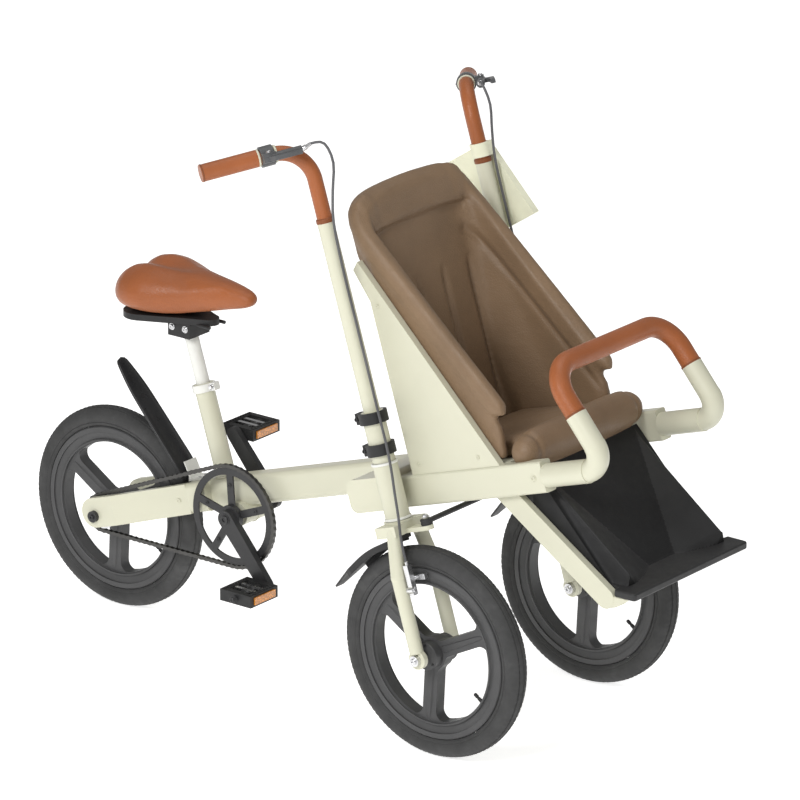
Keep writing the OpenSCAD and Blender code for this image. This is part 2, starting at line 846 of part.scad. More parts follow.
module rear_axle() color(silver) in_frame() {
  nut_r = 11;
  nut_t = 8;
  nut_y = stay_gap / 2 + stay_t;
  pin_across(axle_r, -nut_y - nut_t, nut_y + nut_t);
  both() pin_across(nut_r, nut_y, nut_y + nut_t);
}

// The chain's line, from the sprocket's upper tangent forward over the ring and back: s along it, out from it
chain_span = norm([crank_p, crank_q]);
chain_r1 = sprocket_r + seat_gap + chain_h / 2;
chain_r2 = ring_r + seat_gap + chain_h / 2;
chain_lean = asin((chain_r2 - chain_r1) / chain_span);
chain_run = chain_span * cos(chain_lean);
chain_front = chain_r2 * (180 + 2 * chain_lean) * PI / 180;
chain_rear = chain_r1 * (180 - 2 * chain_lean) * PI / 180;
chain_length = 2 * chain_run + chain_front + chain_rear;
links = round(chain_length / link_l);

function around(r, a) = r * [cos(a), sin(a)];
function chain_point(s, out) =
  s < chain_run ? around(chain_r1 + out, 90 + chain_lean) + around(s, chain_lean)
  : s < chain_run + chain_front
    ? [chain_span, 0] + around(chain_r2 + out, 90 + chain_lean - (s - chain_run) / chain_r2 * 180 / PI)
  : s < 2 * chain_run + chain_front
    ? [chain_span, 0] + around(chain_r2 + out, 270 - chain_lean)
      + around(s - chain_run - chain_front, 180 - chain_lean)
  : around(chain_r1 + out, 270 - chain_lean - (s - 2 * chain_run - chain_front) / chain_r1 * 180 / PI);
function chain_side(out, waist) = [for (i = [0 : 2 * links - 1])
  chain_point(i * chain_length / (2 * links), i % 2 == 0 ? out : waist)];

// The chain as one loop, waisted between its pins
module chain() color(black) in_frame() {
  half = chain_h / 2;
  rotate([0, -atan2(crank_q, crank_p), 0]) across(-chain_y - chain_w / 2, -chain_y + chain_w / 2) difference() {
    polygon(chain_side(half, half - link_waist));
    polygon(chain_side(-half, link_waist - half));
  }
}

// Crank coordinates, level, with the right crank along X
module at_crank() {
  in_frame() translate([crank_p, 0, crank_q]) rotate([0, frame_tilt - crank_angle, 0]) children();
}

module chainring() color(black) at_crank() {
  disc_t = 4;
  band = 13;
  arms = 5;
  arm_t = 15;
  boss_r = 24;
  across(-chain_y - disc_t / 2, -chain_y + disc_t / 2) difference() {
    union() {
      difference() {
        circle(r = ring_r);
        circle(r = ring_r - band);
      }
      for (k = [0 : arms - 1]) rotate(360 * k / arms) translate([0, -arm_t / 2]) square([ring_r - band / 2, arm_t]);
      circle(r = boss_r);
    }
    circle(r = spindle_d / 2 + fit);
  }
  difference() {
    pin_across(boss_r, -crank_y, -chain_y - disc_t / 2);
    pin_across(spindle_d / 2 + fit, -2 * crank_y, 0);
  }
}

module crank() {
  boss_r = 17;
  eye_r = 14;
  pin_l = pedal_w + 6;
  across(crank_y, crank_y + crank_t) union() {
    circle(r = boss_r);
    polygon([[0, -boss_r], [crank_l, -eye_r], [crank_l, eye_r], [0, boss_r]]);
    translate([crank_l, 0]) circle(r = eye_r);
  }
  translate([crank_l, 0, 0]) pin_across(pedal_pin_d / 2, crank_y + crank_t, crank_y + crank_t + pin_l);
}

module crankset() color(black) at_crank() {
  pin_across(spindle_d / 2, -crank_y, crank_y);
  mirror([0, 1, 0]) crank();
  rotate([0, 180, 0]) crank();
}

// Level coordinates at a pedal's middle: side is -1 on the right and 1 on the left
module at_pedal(side) {
  in_frame() translate([crank_p, 0, crank_q]) rotate([0, frame_tilt, 0])
    translate([-side * crank_l * cos(crank_angle), side * (crank_y + crank_t + 4 + pedal_w / 2),
      -side * crank_l * sin(crank_angle)]) children();
}

module pedal() {
  rib_t = 12;
  sleeve_r = pedal_t / 2 - 2;
  difference() {
    union() {
      for (x = [-pedal_l / 2, pedal_l / 2 - rib_t])
        translate([x, -pedal_w / 2, -pedal_t / 2]) cube([rib_t, pedal_w, pedal_t]);
      for (y = [-pedal_w / 2, pedal_w / 2 - rib_t])
        translate([-pedal_l / 2, y, -pedal_t / 2]) cube([pedal_l, rib_t, pedal_t]);
      pin_across(sleeve_r, -pedal_w / 2, pedal_w / 2);
    }
    pin_across(pedal_pin_d / 2 + fit, -pedal_w, pedal_w);
  }
}

module reflectors() {
  strip_t = 3;
  strip_h = pedal_t * 0.62;
  strip_w = pedal_w * 0.76;
  for (x = [pedal_l / 2, -pedal_l / 2 - strip_t])
    translate([x, -strip_w / 2, -strip_h / 2]) cube([strip_t, strip_w, strip_h]);
}

module right_pedal() color(black) at_pedal(-1) pedal();

module right_reflectors() color(amber) at_pedal(-1) reflectors();

module left_pedal() color(black) at_pedal(1) pedal();

module left_reflectors() color(amber) at_pedal(1) reflectors();

// Fenders

// A band beside a tyre, from r0 to r1 off the hub: an arc from a0 to a1, then a straight tail
fender_step = 3;
function band_side(r, a0, a1, tail) =
  let (steps = ceil((a1 - a0) / fender_step))
  concat([for (i = [0 : steps]) around(r, a0 + (a1 - a0) * i / steps)], [around(r, a1) + around(tail, a1 + 90)]);

module band(r0, r1, a0, a1, tail) {
  outside = band_side(r1, a0, a1, tail);
  polygon(concat(band_side(r0, a0, a1, tail), [for (i = [len(outside) - 1 : -1 : 0]) outside[i]]));
}

// A gutter over a tyre: the top, and a flange down each side
module gutter(gap, a0, a1, tail) {
  half = fender_w / 2;
  outer = wheel_r + gap + fender_t;
  difference() {
    union() {
      across(-half, half) band(outer - fender_t, outer, a0, a1, tail);
      both() across(half - fender_t, half) band(outer - fender_flange, outer, a0, a1, tail);
    }
    both() rotate([0, -a1, 0]) translate([outer - 2 * fender_flange, 0, 0]) rotate([90, 0, 90])
      linear_extrude(3 * fender_flange)
        polygon([[half + 1, tail / 4], [half + 1, tail + 1], [fender_tip_w / 2, tail + 1]]);
  }
}

module rear_fender() color(black) in_frame() {
  foot_l = 34;
  foot_w = 40;
  inner = wheel_r + rear_fender_gap;
  a0 = asin((tube_high + fender_t) / (inner + fender_t));
  gutter(rear_fender_gap, a0, rear_fender_angle - frame_tilt, rear_tail_l);
  translate([inner * cos(a0), -foot_w / 2, tube_high]) cube([foot_l, foot_w, fender_t]);
}

module front_fender() at_front_hub() {
  a0 = 97;
  a1 = 120;
  tab_l = 32;
  tab_w = 24;
  tab_front = -2;
  tab_low = (wheel_r + front_fender_gap + fender_t / 2) * sin(a0);
  gutter(front_fender_gap, a0, a1, front_tail_l);
  translate([tab_front - tab_l, -tab_w / 2, tab_low]) cube([tab_l, tab_w, crown_low - hub_q - tab_low]);
}

module right_fender() color(black) on_right() front_fender();

module left_fender() color(black) on_left() front_fender();

// Steering

module fork() {
  leg_r = leg_d / 2;
  crown_in = 33;
  crown_back = 21;
  splay_l = 84;
  splay_r = leg_r + 0.5;
  joint_r = splay_r + 0.3;
  leg_top = crown_low + crown_h / 2;
  leg_foot = 12;
  lug_r = 18;
  flange_t = 4;
  flange_d = head_tube_d + 8;
  difference() {
    union() {
      at_axis() translate([0, 0, crown_q - flange_t]) cylinder(d = flange_d, h = flange_t);
      at_axis() translate([0, 0, crown_q - flange_t]) cylinder(d = steerer_d, h = steerer_top - crown_q + flange_t);
      at_axis() translate([-crown_back, -crown_in - leg_r, crown_low])
        cube([rake + leg_r + crown_back, 2 * (crown_in + leg_r), crown_h - flange_t]);
      at_axis() both() {
        rod([rake, crown_in, leg_top], [rake, leg_y, leg_top - splay_l], splay_r);
        translate([rake, leg_y, leg_top - splay_l]) sphere(r = joint_r);
        translate([rake, leg_y, hub_q + leg_foot]) cylinder(r = leg_r, h = leg_top - splay_l - hub_q - leg_foot);
      }
      for (side = [-1, 1]) at_front_hub() translate([0, side * leg_y, 0]) pin_across(lug_r, -lug_t / 2, lug_t / 2);
      at_axis() knuckle(crown_low + knuckle_t);
    }
    at_front_hub() pin_across(axle_r + fit, -2 * leg_y, 2 * leg_y);
  }
}

// Both sides of a front wheel's middle plane
module both_of_axis() {
  children();
  translate([0, 2 * axis_y, 0]) mirror([0, 1, 0]) children();
}

// The arm that carries a tie rod pin, with the pin on it
module knuckle(pin_q) {
  eye_r = 11;
  root_p = 10;
  root_r = 16;
  pin_l = 15;
  translate([0, 0, pin_q - knuckle_t]) linear_extrude(knuckle_t) union() {
    translate([knuckle_l, 0]) circle(r = eye_r);
    polygon([[root_p, -root_r], [knuckle_l, -eye_r], [knuckle_l, eye_r], [root_p, root_r]]);
  }
  translate([knuckle_l, 0, pin_q]) cylinder(d = tie_pin_d, h = pin_l);
}

module right_fork() color(cream) on_right() fork();

module left_fork() color(cream) on_left() fork();

module tie_rod() color(silver) in_frame() {
  eye_r = 10;
  eye_h = 12;
  eye_low = crown_low + knuckle_t + headset_gap;
  difference() {
    union() {
      rod([axis_p + knuckle_l, -axis_y, eye_low + eye_h / 2], [axis_p + knuckle_l, axis_y, eye_low + eye_h / 2],
        tie_rod_d / 2 - 1);
      both() translate([axis_p + knuckle_l, axis_y, eye_low]) cylinder(r = eye_r, h = eye_h);
    }
    both() translate([axis_p + knuckle_l, axis_y, eye_low - 1]) cylinder(r = tie_pin_d / 2 + fit, h = eye_h + 2);
  }
}

module column() at_axis() {
  difference() {
    union() {
      translate([0, 0, socket_low]) cylinder(d = socket_d, h = socket_l);
      translate([0, 0, socket_low]) cylinder(d = column_d, h = column_top - socket_low);
    }
    translate([0, 0, socket_low - 1]) cylinder(r = steerer_d / 2 + fit, h = steerer_top - socket_low + 1 + seat_gap);
  }
}

module right_column() color(cream) on_right() column();

module left_column() color(cream) on_left() column();

module clamps() at_axis() {
  lug_l = 18;
  lug_w = 18;
  lug_set = 8;
  first_set = 14;
  for (low = [socket_low + first_set, socket_high - clamp_h]) translate([0, 0, low]) difference() {
    union() {
      cylinder(d = clamp_d, h = clamp_h);
      translate([-clamp_d / 2 - lug_set, -lug_w / 2, 0]) cube([lug_l, lug_w, clamp_h]);
    }
    translate([0, 0, -1]) cylinder(r = socket_d / 2 + fit, h = clamp_h + 2);
  }
}

module right_clamps() color(black) on_right() clamps();

module left_clamps() color(black) on_left() clamps();

// Bar coordinates: X from the bar's corner along the grip, Y forward of it, Z up
module at_bar() {
  at_axis() translate([0, 0, corner_q]) rotate([0, 0, 180 - bar_flare]) mirror([0, 1, 0]) children();
}

module bar() {
  at_bar() translate([0, 0, -bar_rise]) tube_run(bar_d / 2, [
    [bar_rise - bar_bend_r, 90, bar_bend_r], [bar_l - bar_bend_r, 0, 0]
  ]);
  at_bar() translate([bar_l - grip_l, 0, 0]) rotate([0, 90, 0]) cylinder(d = grip_d, h = grip_l);
}

module right_bar() color(tan_hide) on_right() bar();

module left_bar() color(tan_hide) on_left() bar();

module lever() at_bar() {
  ring_w = 24;
  ring_t = 5;
  body_y = 22;
  body_h = 16;
  root_y = body_y + 6;
  barrel_r = 8;
  barrel_l = 60;
  blade_t = 8;
  blade_y = body_y + 30;
  rod_low = -2;
  difference() {
    union() {
      rod([lever_set - ring_w / 2, 0, 0], [lever_set + ring_w / 2, 0, 0], bar_d / 2 + ring_t);
      translate([lever_set - ring_w / 2, 0, -body_h / 2]) cube([ring_w, root_y + ring_t + 1, body_h]);
      rod([lever_set - barrel_l, root_y, rod_low], [lever_set + ring_w / 2, root_y, rod_low], barrel_r);
      translate([0, 0, rod_low - ring_t]) linear_extrude(blade_t) polygon([
        [lever_set - barrel_r, root_y], [lever_set + barrel_r, root_y], [lever_set - barrel_r / 2, blade_y],
        [lever_set - 54, blade_y + 4], [lever_set - 56, blade_y - 4], [lever_set - 14, blade_y - 10]
      ]);
    }
    rod([lever_set - ring_w, 0, 0], [lever_set + ring_w, 0, 0], bar_d / 2 + fit);
  }
}

module right_lever() color(silver) on_right() lever();

module left_lever() color(silver) on_left() lever();

module cable() at_axis() {
  cord(smooth_route(cable_route, 3), cable_d / 2, 8);
}

module right_cable() color(black) on_right() cable();

module left_cable() color(black) on_left() cable();

// Rim brake: on each leg a boss, an arm and a pad beside the rim
module brake() both_of_axis() at_front_hub() {
  arm_p = leg_d / 2 + 4;
  arm_t = 10;
  arm_w = 12;
  arm_low = 118;
  boss_q = 128;
  boss_r = 7;
  boss_set = 4;
  pad_q = 147;
  pad_l = 46;
  pad_w = 9;
  pad_h = 10;
  pad_gap = 7;
  pad_pin_r = 4;
  difference() {
    union() {
      translate([arm_p, leg_y - arm_w, arm_low]) cube([arm_t, arm_w, brake_top - arm_low]);
      translate([0, leg_y - boss_set, boss_q]) rotate([0, 90, 0]) cylinder(r = boss_r, h = arm_p + arm_t);
      translate([arm_p + arm_t / 2, 0, pad_q]) pin_across(pad_pin_r, rim_w / 2 + pad_gap + 1, leg_y - arm_w / 2);
      translate([arm_p + arm_t / 2 - pad_l / 2, rim_w / 2 + pad_gap, pad_q - pad_h / 2]) cube([pad_l, pad_w, pad_h]);
    }
    translate([0, leg_y, 0]) cylinder(r = leg_d / 2 + seat_gap, h = 2 * wheel_r, center = true);
  }
}

module right_brake() color(silver) on_right() brake();

module left_brake() color(silver) on_left() brake();

module front_axle() at_front_hub() {
  nut_r = 10;
  nut_t = 9;
  nut_y = leg_y + lug_t / 2;
  pin_across(axle_r, -nut_y - nut_t, nut_y + nut_t);
  for (y = [-nut_y - nut_t, nut_y]) pin_across(nut_r, y, y + nut_t);
}

module right_axle() color(silver) on_right() front_axle();

module left_axle() color(silver) on_left() front_axle();

module right_rim() color(black) on_right() at_front_hub() rim(front_hub_w);

module left_rim() color(black) on_left() at_front_hub() rim(front_hub_w);

module right_tyre() color(black) on_right() at_front_hub() tyre();

module left_tyre() color(black) on_left() at_front_hub() tyre();

// A leaning four-sided outline: the first side runs along X, the second leans off it
module square_corner(l, h) {
  slant = 11;
  polygon([[0, 0], [l, 0], [l - h * sin(slant), h * cos(slant)], [-h * sin(slant), h * cos(slant)]]);
}

// A flat pouch on the outside of the left column, held by a band round the bar
module pouch() color(cream) on_left() at_axis() {
  pouch_t = 16;
  pouch_l = 120;
  pouch_h = 163;
  lean = 16;
  tip_q = column_top + 34;
  band_h = 26;
  band_t = 4;
  band_q = column_top + 10;
  band_r = bar_d / 2 + band_t;
  set = column_d / 2 + 3;
  difference() {
    union() {
      translate([0, 0, band_q]) cylinder(r = band_r, h = band_h);
      translate([-band_r, 0, band_q]) cube([2 * band_r, set + 2, band_h]);
      across(set, set + pouch_t) translate([0, tip_q]) rotate(180 + lean) square_corner(pouch_l, pouch_h);
    }
    translate([0, 0, band_q - 1]) cylinder(r = bar_d / 2 + fit, h = band_h + 2);
  }
}

main_tube();
right_stay();
left_stay();
cross_beam();
right_arm();
left_arm();
seat_pan();
right_side_panel();
left_side_panel();
grab_bar();
grab_sleeve();
seat_back();
right_wing();
left_wing();
seat_cushion();
foot_rails();
footrest();
seat_post();
post_clamp();
saddle_base();
saddle();
rear_axle();
rear_fender();
chain();
rear_rim();
rear_tyre();
rear_sprocket();
chainring();
crankset();
right_pedal();
right_reflectors();
left_pedal();
left_reflectors();
right_fork();
right_column();
right_clamps();
right_bar();
right_lever();
right_cable();
right_brake();
right_fender();
right_axle();
right_rim();
right_tyre();
left_fork();
left_column();
left_clamps();
left_bar();
left_lever();
left_cable();
left_brake();
left_fender();
left_axle();
left_rim();
left_tyre();
tie_rod();
pouch();
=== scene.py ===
"""Looks of the tricycle with child seat: materials, padded seat, saddle, tyres and small fittings."""
import json
import math
import bpy
import bmesh
from mathutils import Matrix, Vector


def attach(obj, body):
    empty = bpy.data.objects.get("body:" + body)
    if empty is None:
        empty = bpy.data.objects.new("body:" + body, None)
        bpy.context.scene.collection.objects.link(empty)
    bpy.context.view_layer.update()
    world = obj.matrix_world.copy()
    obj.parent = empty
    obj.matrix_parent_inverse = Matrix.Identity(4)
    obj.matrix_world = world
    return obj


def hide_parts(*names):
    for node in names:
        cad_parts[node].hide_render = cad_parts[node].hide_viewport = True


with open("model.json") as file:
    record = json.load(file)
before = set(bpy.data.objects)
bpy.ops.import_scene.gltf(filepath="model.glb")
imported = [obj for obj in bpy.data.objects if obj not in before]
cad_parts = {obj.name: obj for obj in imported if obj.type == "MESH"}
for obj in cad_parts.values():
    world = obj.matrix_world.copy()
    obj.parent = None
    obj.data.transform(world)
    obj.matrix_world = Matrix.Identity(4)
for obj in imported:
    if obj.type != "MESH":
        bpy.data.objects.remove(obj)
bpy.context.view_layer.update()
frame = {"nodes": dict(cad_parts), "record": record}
nodes = frame["nodes"]
scene = bpy.context.scene
MM = 0.001

# Layout, in millimetres and degrees
TILT = 17.4
WHEELBASE = 946.0
TRACK = 466.0
WHEEL_R = 200.0
RAKE = 12.0
MID_X = 572.6395
COS_T = math.cos(math.radians(TILT))
SIN_T = math.sin(math.radians(TILT))
HUB_P = WHEELBASE * COS_T
HUB_Q = -WHEELBASE * SIN_T
AXIS_P = HUB_P - RAKE
AXIS_Y = TRACK / 2
BEAM_FRONT = AXIS_P - 18
ARM_END = BEAM_FRONT + 336
SEAT_P = BEAM_FRONT + 1
SEAT_Q = 35.3
PANEL_Y = 186.0
SEAT_TUBE_P = 288.0
SIDES = (("right", -1), ("left", 1))
WHEELS = ("rear", "right", "left")


def shift(x, y, z):
    return Matrix.Translation(Vector((x, y, z)))


def turn(angle, axis):
    return Matrix.Rotation(math.radians(angle), 4, axis)


# Frame coordinates (p along the sloping frame, q square to it) to the row frame, still in millimetres
IN_FRAME = shift(-MID_X, 0, WHEEL_R) @ turn(-TILT, "Y")
AT_SEAT = IN_FRAME @ shift(SEAT_P, 0, SEAT_Q)
AT_POST = IN_FRAME @ shift(SEAT_TUBE_P, 0, 330) @ turn(TILT, "Y")
TO_M = Matrix.Scale(MM, 4)
MIRROR_Y = Matrix.Scale(-1, 4, Vector((0, 1, 0)))


def at_axis(side):
    return IN_FRAME @ shift(AXIS_P, side * AXIS_Y, 0) @ (Matrix() if side > 0 else MIRROR_Y)


def at_hub(name):
    """A wheel's middle, level axes."""
    if name == "rear":
        return shift(-MID_X, 0, WHEEL_R)
    return shift(WHEELBASE - MID_X, AXIS_Y if name == "left" else -AXIS_Y, WHEEL_R)


def within(value, low=0.0, high=1.0):
    return max(low, min(high, value))


# Materials

def new_material(name, colour, rough, metallic=0.0, coat=0.0, specular=0.5):
    mat = bpy.data.materials.new(name)
    mat.use_nodes = True
    shader = mat.node_tree.nodes["Principled BSDF"]
    shader.inputs["Base Color"].default_value = (*colour, 1.0)
    shader.inputs["Roughness"].default_value = rough
    shader.inputs["Metallic"].default_value = metallic
    shader.inputs["Coat Weight"].default_value = coat
    shader.inputs["Specular IOR Level"].default_value = specular
    return mat, mat.node_tree, shader


def coordinates(tree, scale=(1, 1, 1)):
    coords = tree.nodes.new("ShaderNodeTexCoord")
    mapping = tree.nodes.new("ShaderNodeMapping")
    mapping.inputs["Scale"].default_value = scale
    tree.links.new(coords.outputs["Object"], mapping.inputs["Vector"])
    return mapping.outputs["Vector"]


def noise(tree, vector, scale, detail=4.0, rough=0.55):
    tex = tree.nodes.new("ShaderNodeTexNoise")
    tex.inputs["Scale"].default_value = scale
    tex.inputs["Detail"].default_value = detail
    tex.inputs["Roughness"].default_value = rough
    tree.links.new(vector, tex.inputs["Vector"])
    return tex.outputs["Fac"]


def cells(tree, vector, scale, feature="DISTANCE_TO_EDGE"):
    tex = tree.nodes.new("ShaderNodeTexVoronoi")
    tex.feature = feature
    tex.inputs["Scale"].default_value = scale
    tree.links.new(vector, tex.inputs["Vector"])
    return tex.outputs["Distance"]


def ramp(tree, value, stops):
    node = tree.nodes.new("ShaderNodeValToRGB")
    ends = node.color_ramp.elements
    while len(ends) < len(stops):
        ends.new(0.5)
    for element, (at, colour) in zip(ends, stops):
        element.position = at
        element.color = (*colour, 1.0)
    tree.links.new(value, node.inputs["Fac"])
    return node.outputs["Color"]


def spread(tree, value, low, high, start=0.3, stop=0.7):
    node = tree.nodes.new("ShaderNodeMapRange")
    for socket, number in (("From Min", start), ("From Max", stop), ("To Min", low), ("To Max", high)):
        node.inputs[socket].default_value = number
    tree.links.new(value, node.inputs["Value"])
    return node.outputs["Result"]


def bump(tree, shader, heights):
    """A chain of bumps: each is (height, distance in metres, strength)."""
    normal = None
    for height, distance, strength in heights:
        node = tree.nodes.new("ShaderNodeBump")
        node.inputs["Distance"].default_value = distance
        node.inputs["Strength"].default_value = strength
        tree.links.new(height, node.inputs["Height"])
        if normal:
            tree.links.new(normal, node.inputs["Normal"])
        normal = node.outputs["Normal"]
    tree.links.new(normal, shader.inputs["Normal"])


def uneven(tree, shader, value, low, high):
    """Roughness that varies over the surface."""
    tree.links.new(spread(tree, value, low, high), shader.inputs["Roughness"])


def shade(colour, k):
    return tuple(min(1.0, c * k) for c in colour)


def mottled(tree, shader, vector, colour, scale, low, high):
    """Slow colour variation over the surface."""
    value = noise(tree, vector, scale, 5.0)
    stops = [(0.3, shade(colour, low)), (0.7, shade(colour, high))]
    tree.links.new(ramp(tree, value, stops), shader.inputs["Base Color"])


def paint(name, colour, rough=0.38):
    """Powder coat: faint orange peel, slow tone changes and a trace of dust."""
    mat, tree, shader = new_material(name, colour, rough, coat=0.12)
    vector = coordinates(tree)
    mottled(tree, shader, vector, colour, 5.0, 0.95, 1.02)
    uneven(tree, shader, noise(tree, vector, 22.0), rough - 0.05, rough + 0.08)
    bump(tree, shader, [(noise(tree, vector, 900.0, 2.0), 0.00012, 0.35)])
    return mat


def hide(name, colour, rough=0.42, grain=260.0, depth=0.0006):
    """Leather: pebbled grain, fine pores, a few creases and lighter rubbed places."""
    mat, tree, shader = new_material(name, colour, rough, specular=0.32)
    shader.inputs["Sheen Weight"].default_value = 0.04
    shader.inputs["Sheen Roughness"].default_value = 0.5
    vector = coordinates(tree)
    mottled(tree, shader, vector, colour, 7.0, 0.86, 1.12)
    uneven(tree, shader, noise(tree, vector, 30.0), rough - 0.07, rough + 0.1)
    pebble = spread(tree, cells(tree, vector, grain), 0.0, 1.0, 0.0, 0.28)
    creases = spread(tree, noise(tree, coordinates(tree, (1, 1, 2.4)), 26.0, 7.0, 0.62), 0.0, 1.0, 0.42, 0.6)
    bump(tree, shader, [
        (creases, 0.0012, 0.18), (pebble, depth, 0.34), (noise(tree, vector, grain * 5, 2.0), 0.0001, 0.4)])
    return mat


def moulded(name, colour, rough=0.5, grain=700.0, depth=0.00018):
    """Moulded plastic with a fine spark-eroded texture."""
    mat, tree, shader = new_material(name, colour, rough, specular=0.3)
    vector = coordinates(tree)
    mottled(tree, shader, vector, colour, 9.0, 0.82, 1.2)
    uneven(tree, shader, noise(tree, vector, 40.0), rough - 0.07, rough + 0.09)
    bump(tree, shader, [(cells(tree, vector, grain, "F1"), depth, 0.4)])
    return mat


def rubber(name, colour):
    """Tyre rubber: dusty in random patches, faint mould marks."""
    mat, tree, shader = new_material(name, colour, 0.72, specular=0.35)
    vector = coordinates(tree)
    dust = noise(tree, vector, 14.0, 8.0, 0.65)
    stops = [(0.35, shade(colour, 0.8)), (0.6, colour), (0.82, shade(colour, 1.7))]
    tree.links.new(ramp(tree, dust, stops), shader.inputs["Base Color"])
    uneven(tree, shader, noise(tree, vector, 60.0), 0.62, 0.84)
    bump(tree, shader, [(noise(tree, vector, 480.0, 3.0), 0.0003, 0.4)])
    return mat


def metal(name, colour, rough=0.26, along=(1, 1, 30)):
    """Machined or brushed metal with fine lines across its turning axis."""
    mat, tree, shader = new_material(name, colour, rough, metallic=1.0)
    vector = coordinates(tree, along)
    mottled(tree, shader, coordinates(tree), colour, 12.0, 0.86, 1.06)
    lines = noise(tree, vector, 140.0, 5.0)
    uneven(tree, shader, lines, rough - 0.07, rough + 0.12)
    bump(tree, shader, [(lines, 0.00006, 0.3)])
    return mat


def woven(name, colour):
    """Plain weave: two crossed sets of threads."""
    mat, tree, shader = new_material(name, colour, 0.82, specular=0.25)
    shader.inputs["Sheen Weight"].default_value = 0.2
    vector = coordinates(tree)
    mottled(tree, shader, vector, colour, 16.0, 0.92, 1.04)
    heights = []
    for axis in ("X", "Z"):
        tex = tree.nodes.new("ShaderNodeTexWave")
        tex.bands_direction = axis
        tex.inputs["Scale"].default_value = 260.0
        tex.inputs["Distortion"].default_value = 0.6
        tree.links.new(vector, tex.inputs["Vector"])
        heights.append((tex.outputs["Fac"], 0.0003, 0.5))
    bump(tree, shader, heights)
    return mat


def prism(name, colour):
    """Reflector lens: rows of small cells under a glossy face."""
    mat, tree, shader = new_material(name, colour, 0.16, coat=0.9, specular=0.6)
    vector = coordinates(tree)
    cell = cells(tree, vector, 260.0, "F1")
    stops = [(0.1, shade(colour, 1.35)), (0.6, shade(colour, 0.62))]
    tree.links.new(ramp(tree, cell, stops), shader.inputs["Base Color"])
    bump(tree, shader, [(cell, 0.0009, 0.5)])
    return mat


CREAM = (0.59, 0.582, 0.455)
TAN = (0.315, 0.096, 0.031)
BROWN = (0.205, 0.133, 0.077)
cream = paint("cream_paint", CREAM)
white = paint("white_collar", (0.74, 0.74, 0.7), 0.32)
tan_hide = hide("tan_hide", TAN, 0.36)
tan_dark = hide("tan_dark_hide", shade(TAN, 0.62), 0.46)
brown_hide = hide("brown_hide", BROWN, 0.46, 230.0)
black_plastic = moulded("black_plastic", (0.021, 0.021, 0.0215), 0.5)
# The footrest's black comes in two tones: the darker one, on the tray floor, is painted shade; the lighter
# one, on the cheeks and foot plate, is painted light
tray_black_painted_shade = moulded("tray_black_painted_shade", (0.013, 0.013, 0.0135), 0.62, 520.0, 0.00025)
footrest_black_painted_light = moulded("footrest_black_painted_light", (0.026, 0.026, 0.0265), 0.46, 900.0, 0.00012)
wheel_black = moulded("wheel_black", (0.062, 0.062, 0.063), 0.42, 900.0, 0.0001)
black_metal = moulded("black_metal", (0.03, 0.03, 0.031), 0.36, 1200.0, 0.00006)
lever_grey = moulded("lever_grey", (0.085, 0.087, 0.09), 0.4, 1000.0, 0.00008)
fender_black = moulded("fender_black", (0.018, 0.018, 0.019), 0.3, 1400.0, 0.00004)
tyre_rubber = rubber("tyre_rubber", (0.046, 0.046, 0.046))
soft_black = rubber("soft_black", (0.03, 0.03, 0.03))
steel = metal("steel", (0.66, 0.66, 0.67))
chain_steel = metal("chain_steel", (0.085, 0.083, 0.08), 0.36)
sheath = moulded("cable_sheath", (0.10, 0.10, 0.105), 0.45, 1500.0, 0.00004)
amber = prism("amber_lens", (0.75, 0.27, 0.03))
pouch_fabric = woven("pouch_fabric", (0.82, 0.82, 0.63))

SLOT_MATERIAL = {
    "cream_paint": cream, "pouch_fabric": pouch_fabric, "tan_hide": tan_hide, "brown_hide": brown_hide,
    "black_plastic": black_plastic, "black_metal": black_metal, "tyre_rubber": tyre_rubber, "steel": steel,
    "lever_grey": lever_grey, "amber": amber, "cable_sheath": sheath,
}
NODE_MATERIAL = {
    "rear_rim": wheel_black, "right_rim": wheel_black, "left_rim": wheel_black, "chain": chain_steel,
    "seat_post": white, "post_clamp": white, "tie_rod": black_metal, "rear_axle": black_metal,
}

# CAD nodes: materials, and a small bevel on their sharp edges
PLAIN = {"right_cable", "left_cable", "chain", "rear_tyre", "right_tyre", "left_tyre"}
for part in frame["record"]["subparts"]:
    obj = nodes[part["node"]]
    material = NODE_MATERIAL.get(part["node"], SLOT_MATERIAL[part["material_slot"]])
    obj.data.materials.clear()
    obj.data.materials.append(material)
    if part["node"] in PLAIN:
        continue
    edge = obj.modifiers.new("edge", "BEVEL")
    edge.width = 1.4 * MM
    edge.segments = 2
    edge.limit_method = "ANGLE"
    edge.angle_limit = math.radians(38)
    edge.harden_normals = False


# Mesh building: shapes are made in millimetres and moved into the row frame

def finish_mesh(name, bm, matrix, material, body, smooth=True, sharp=40):
    bm.transform(TO_M @ matrix)
    bmesh.ops.recalc_face_normals(bm, faces=bm.faces)
    mesh = bpy.data.meshes.new(name)
    bm.to_mesh(mesh)
    bm.free()
    mesh.materials.append(material)
    obj = bpy.data.objects.new(name, mesh)
    scene.collection.objects.link(obj)
    if smooth:
        mesh.shade_smooth()
        mesh.set_sharp_from_angle(angle=math.radians(sharp))
    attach(obj, body)
    return obj


def ring_skin(bm, rings, closed=False, caps=True):
    """Faces between rings of equal length."""
    loops = [[bm.verts.new(p) for p in ring] for ring in rings]
    count = len(loops[0])
    pairs = list(zip(loops, loops[1:]))
    if closed:
        pairs.append((loops[-1], loops[0]))
    for a, b in pairs:
        for i in range(count):
            j = (i + 1) % count
            bm.faces.new((a[i], a[j], b[j], b[i]))
    if caps and not closed:
        bm.faces.new(list(reversed(loops[0])))
        bm.faces.new(loops[-1])
    return loops


def circle(radius, height, sides):
    """Points of a level circle about Z."""
    angles = [2 * math.pi * i / sides for i in range(sides)]
    return [Vector((radius * math.cos(a), radius * math.sin(a), height)) for a in angles]


def lathe(profile, segments=32):
    """A closed turned solid about Z; the profile is a list of (radius, height), with radius above 0."""
    bm = bmesh.new()
    ring_skin(bm, [circle(r, h, segments) for r, h in profile])
    return bm


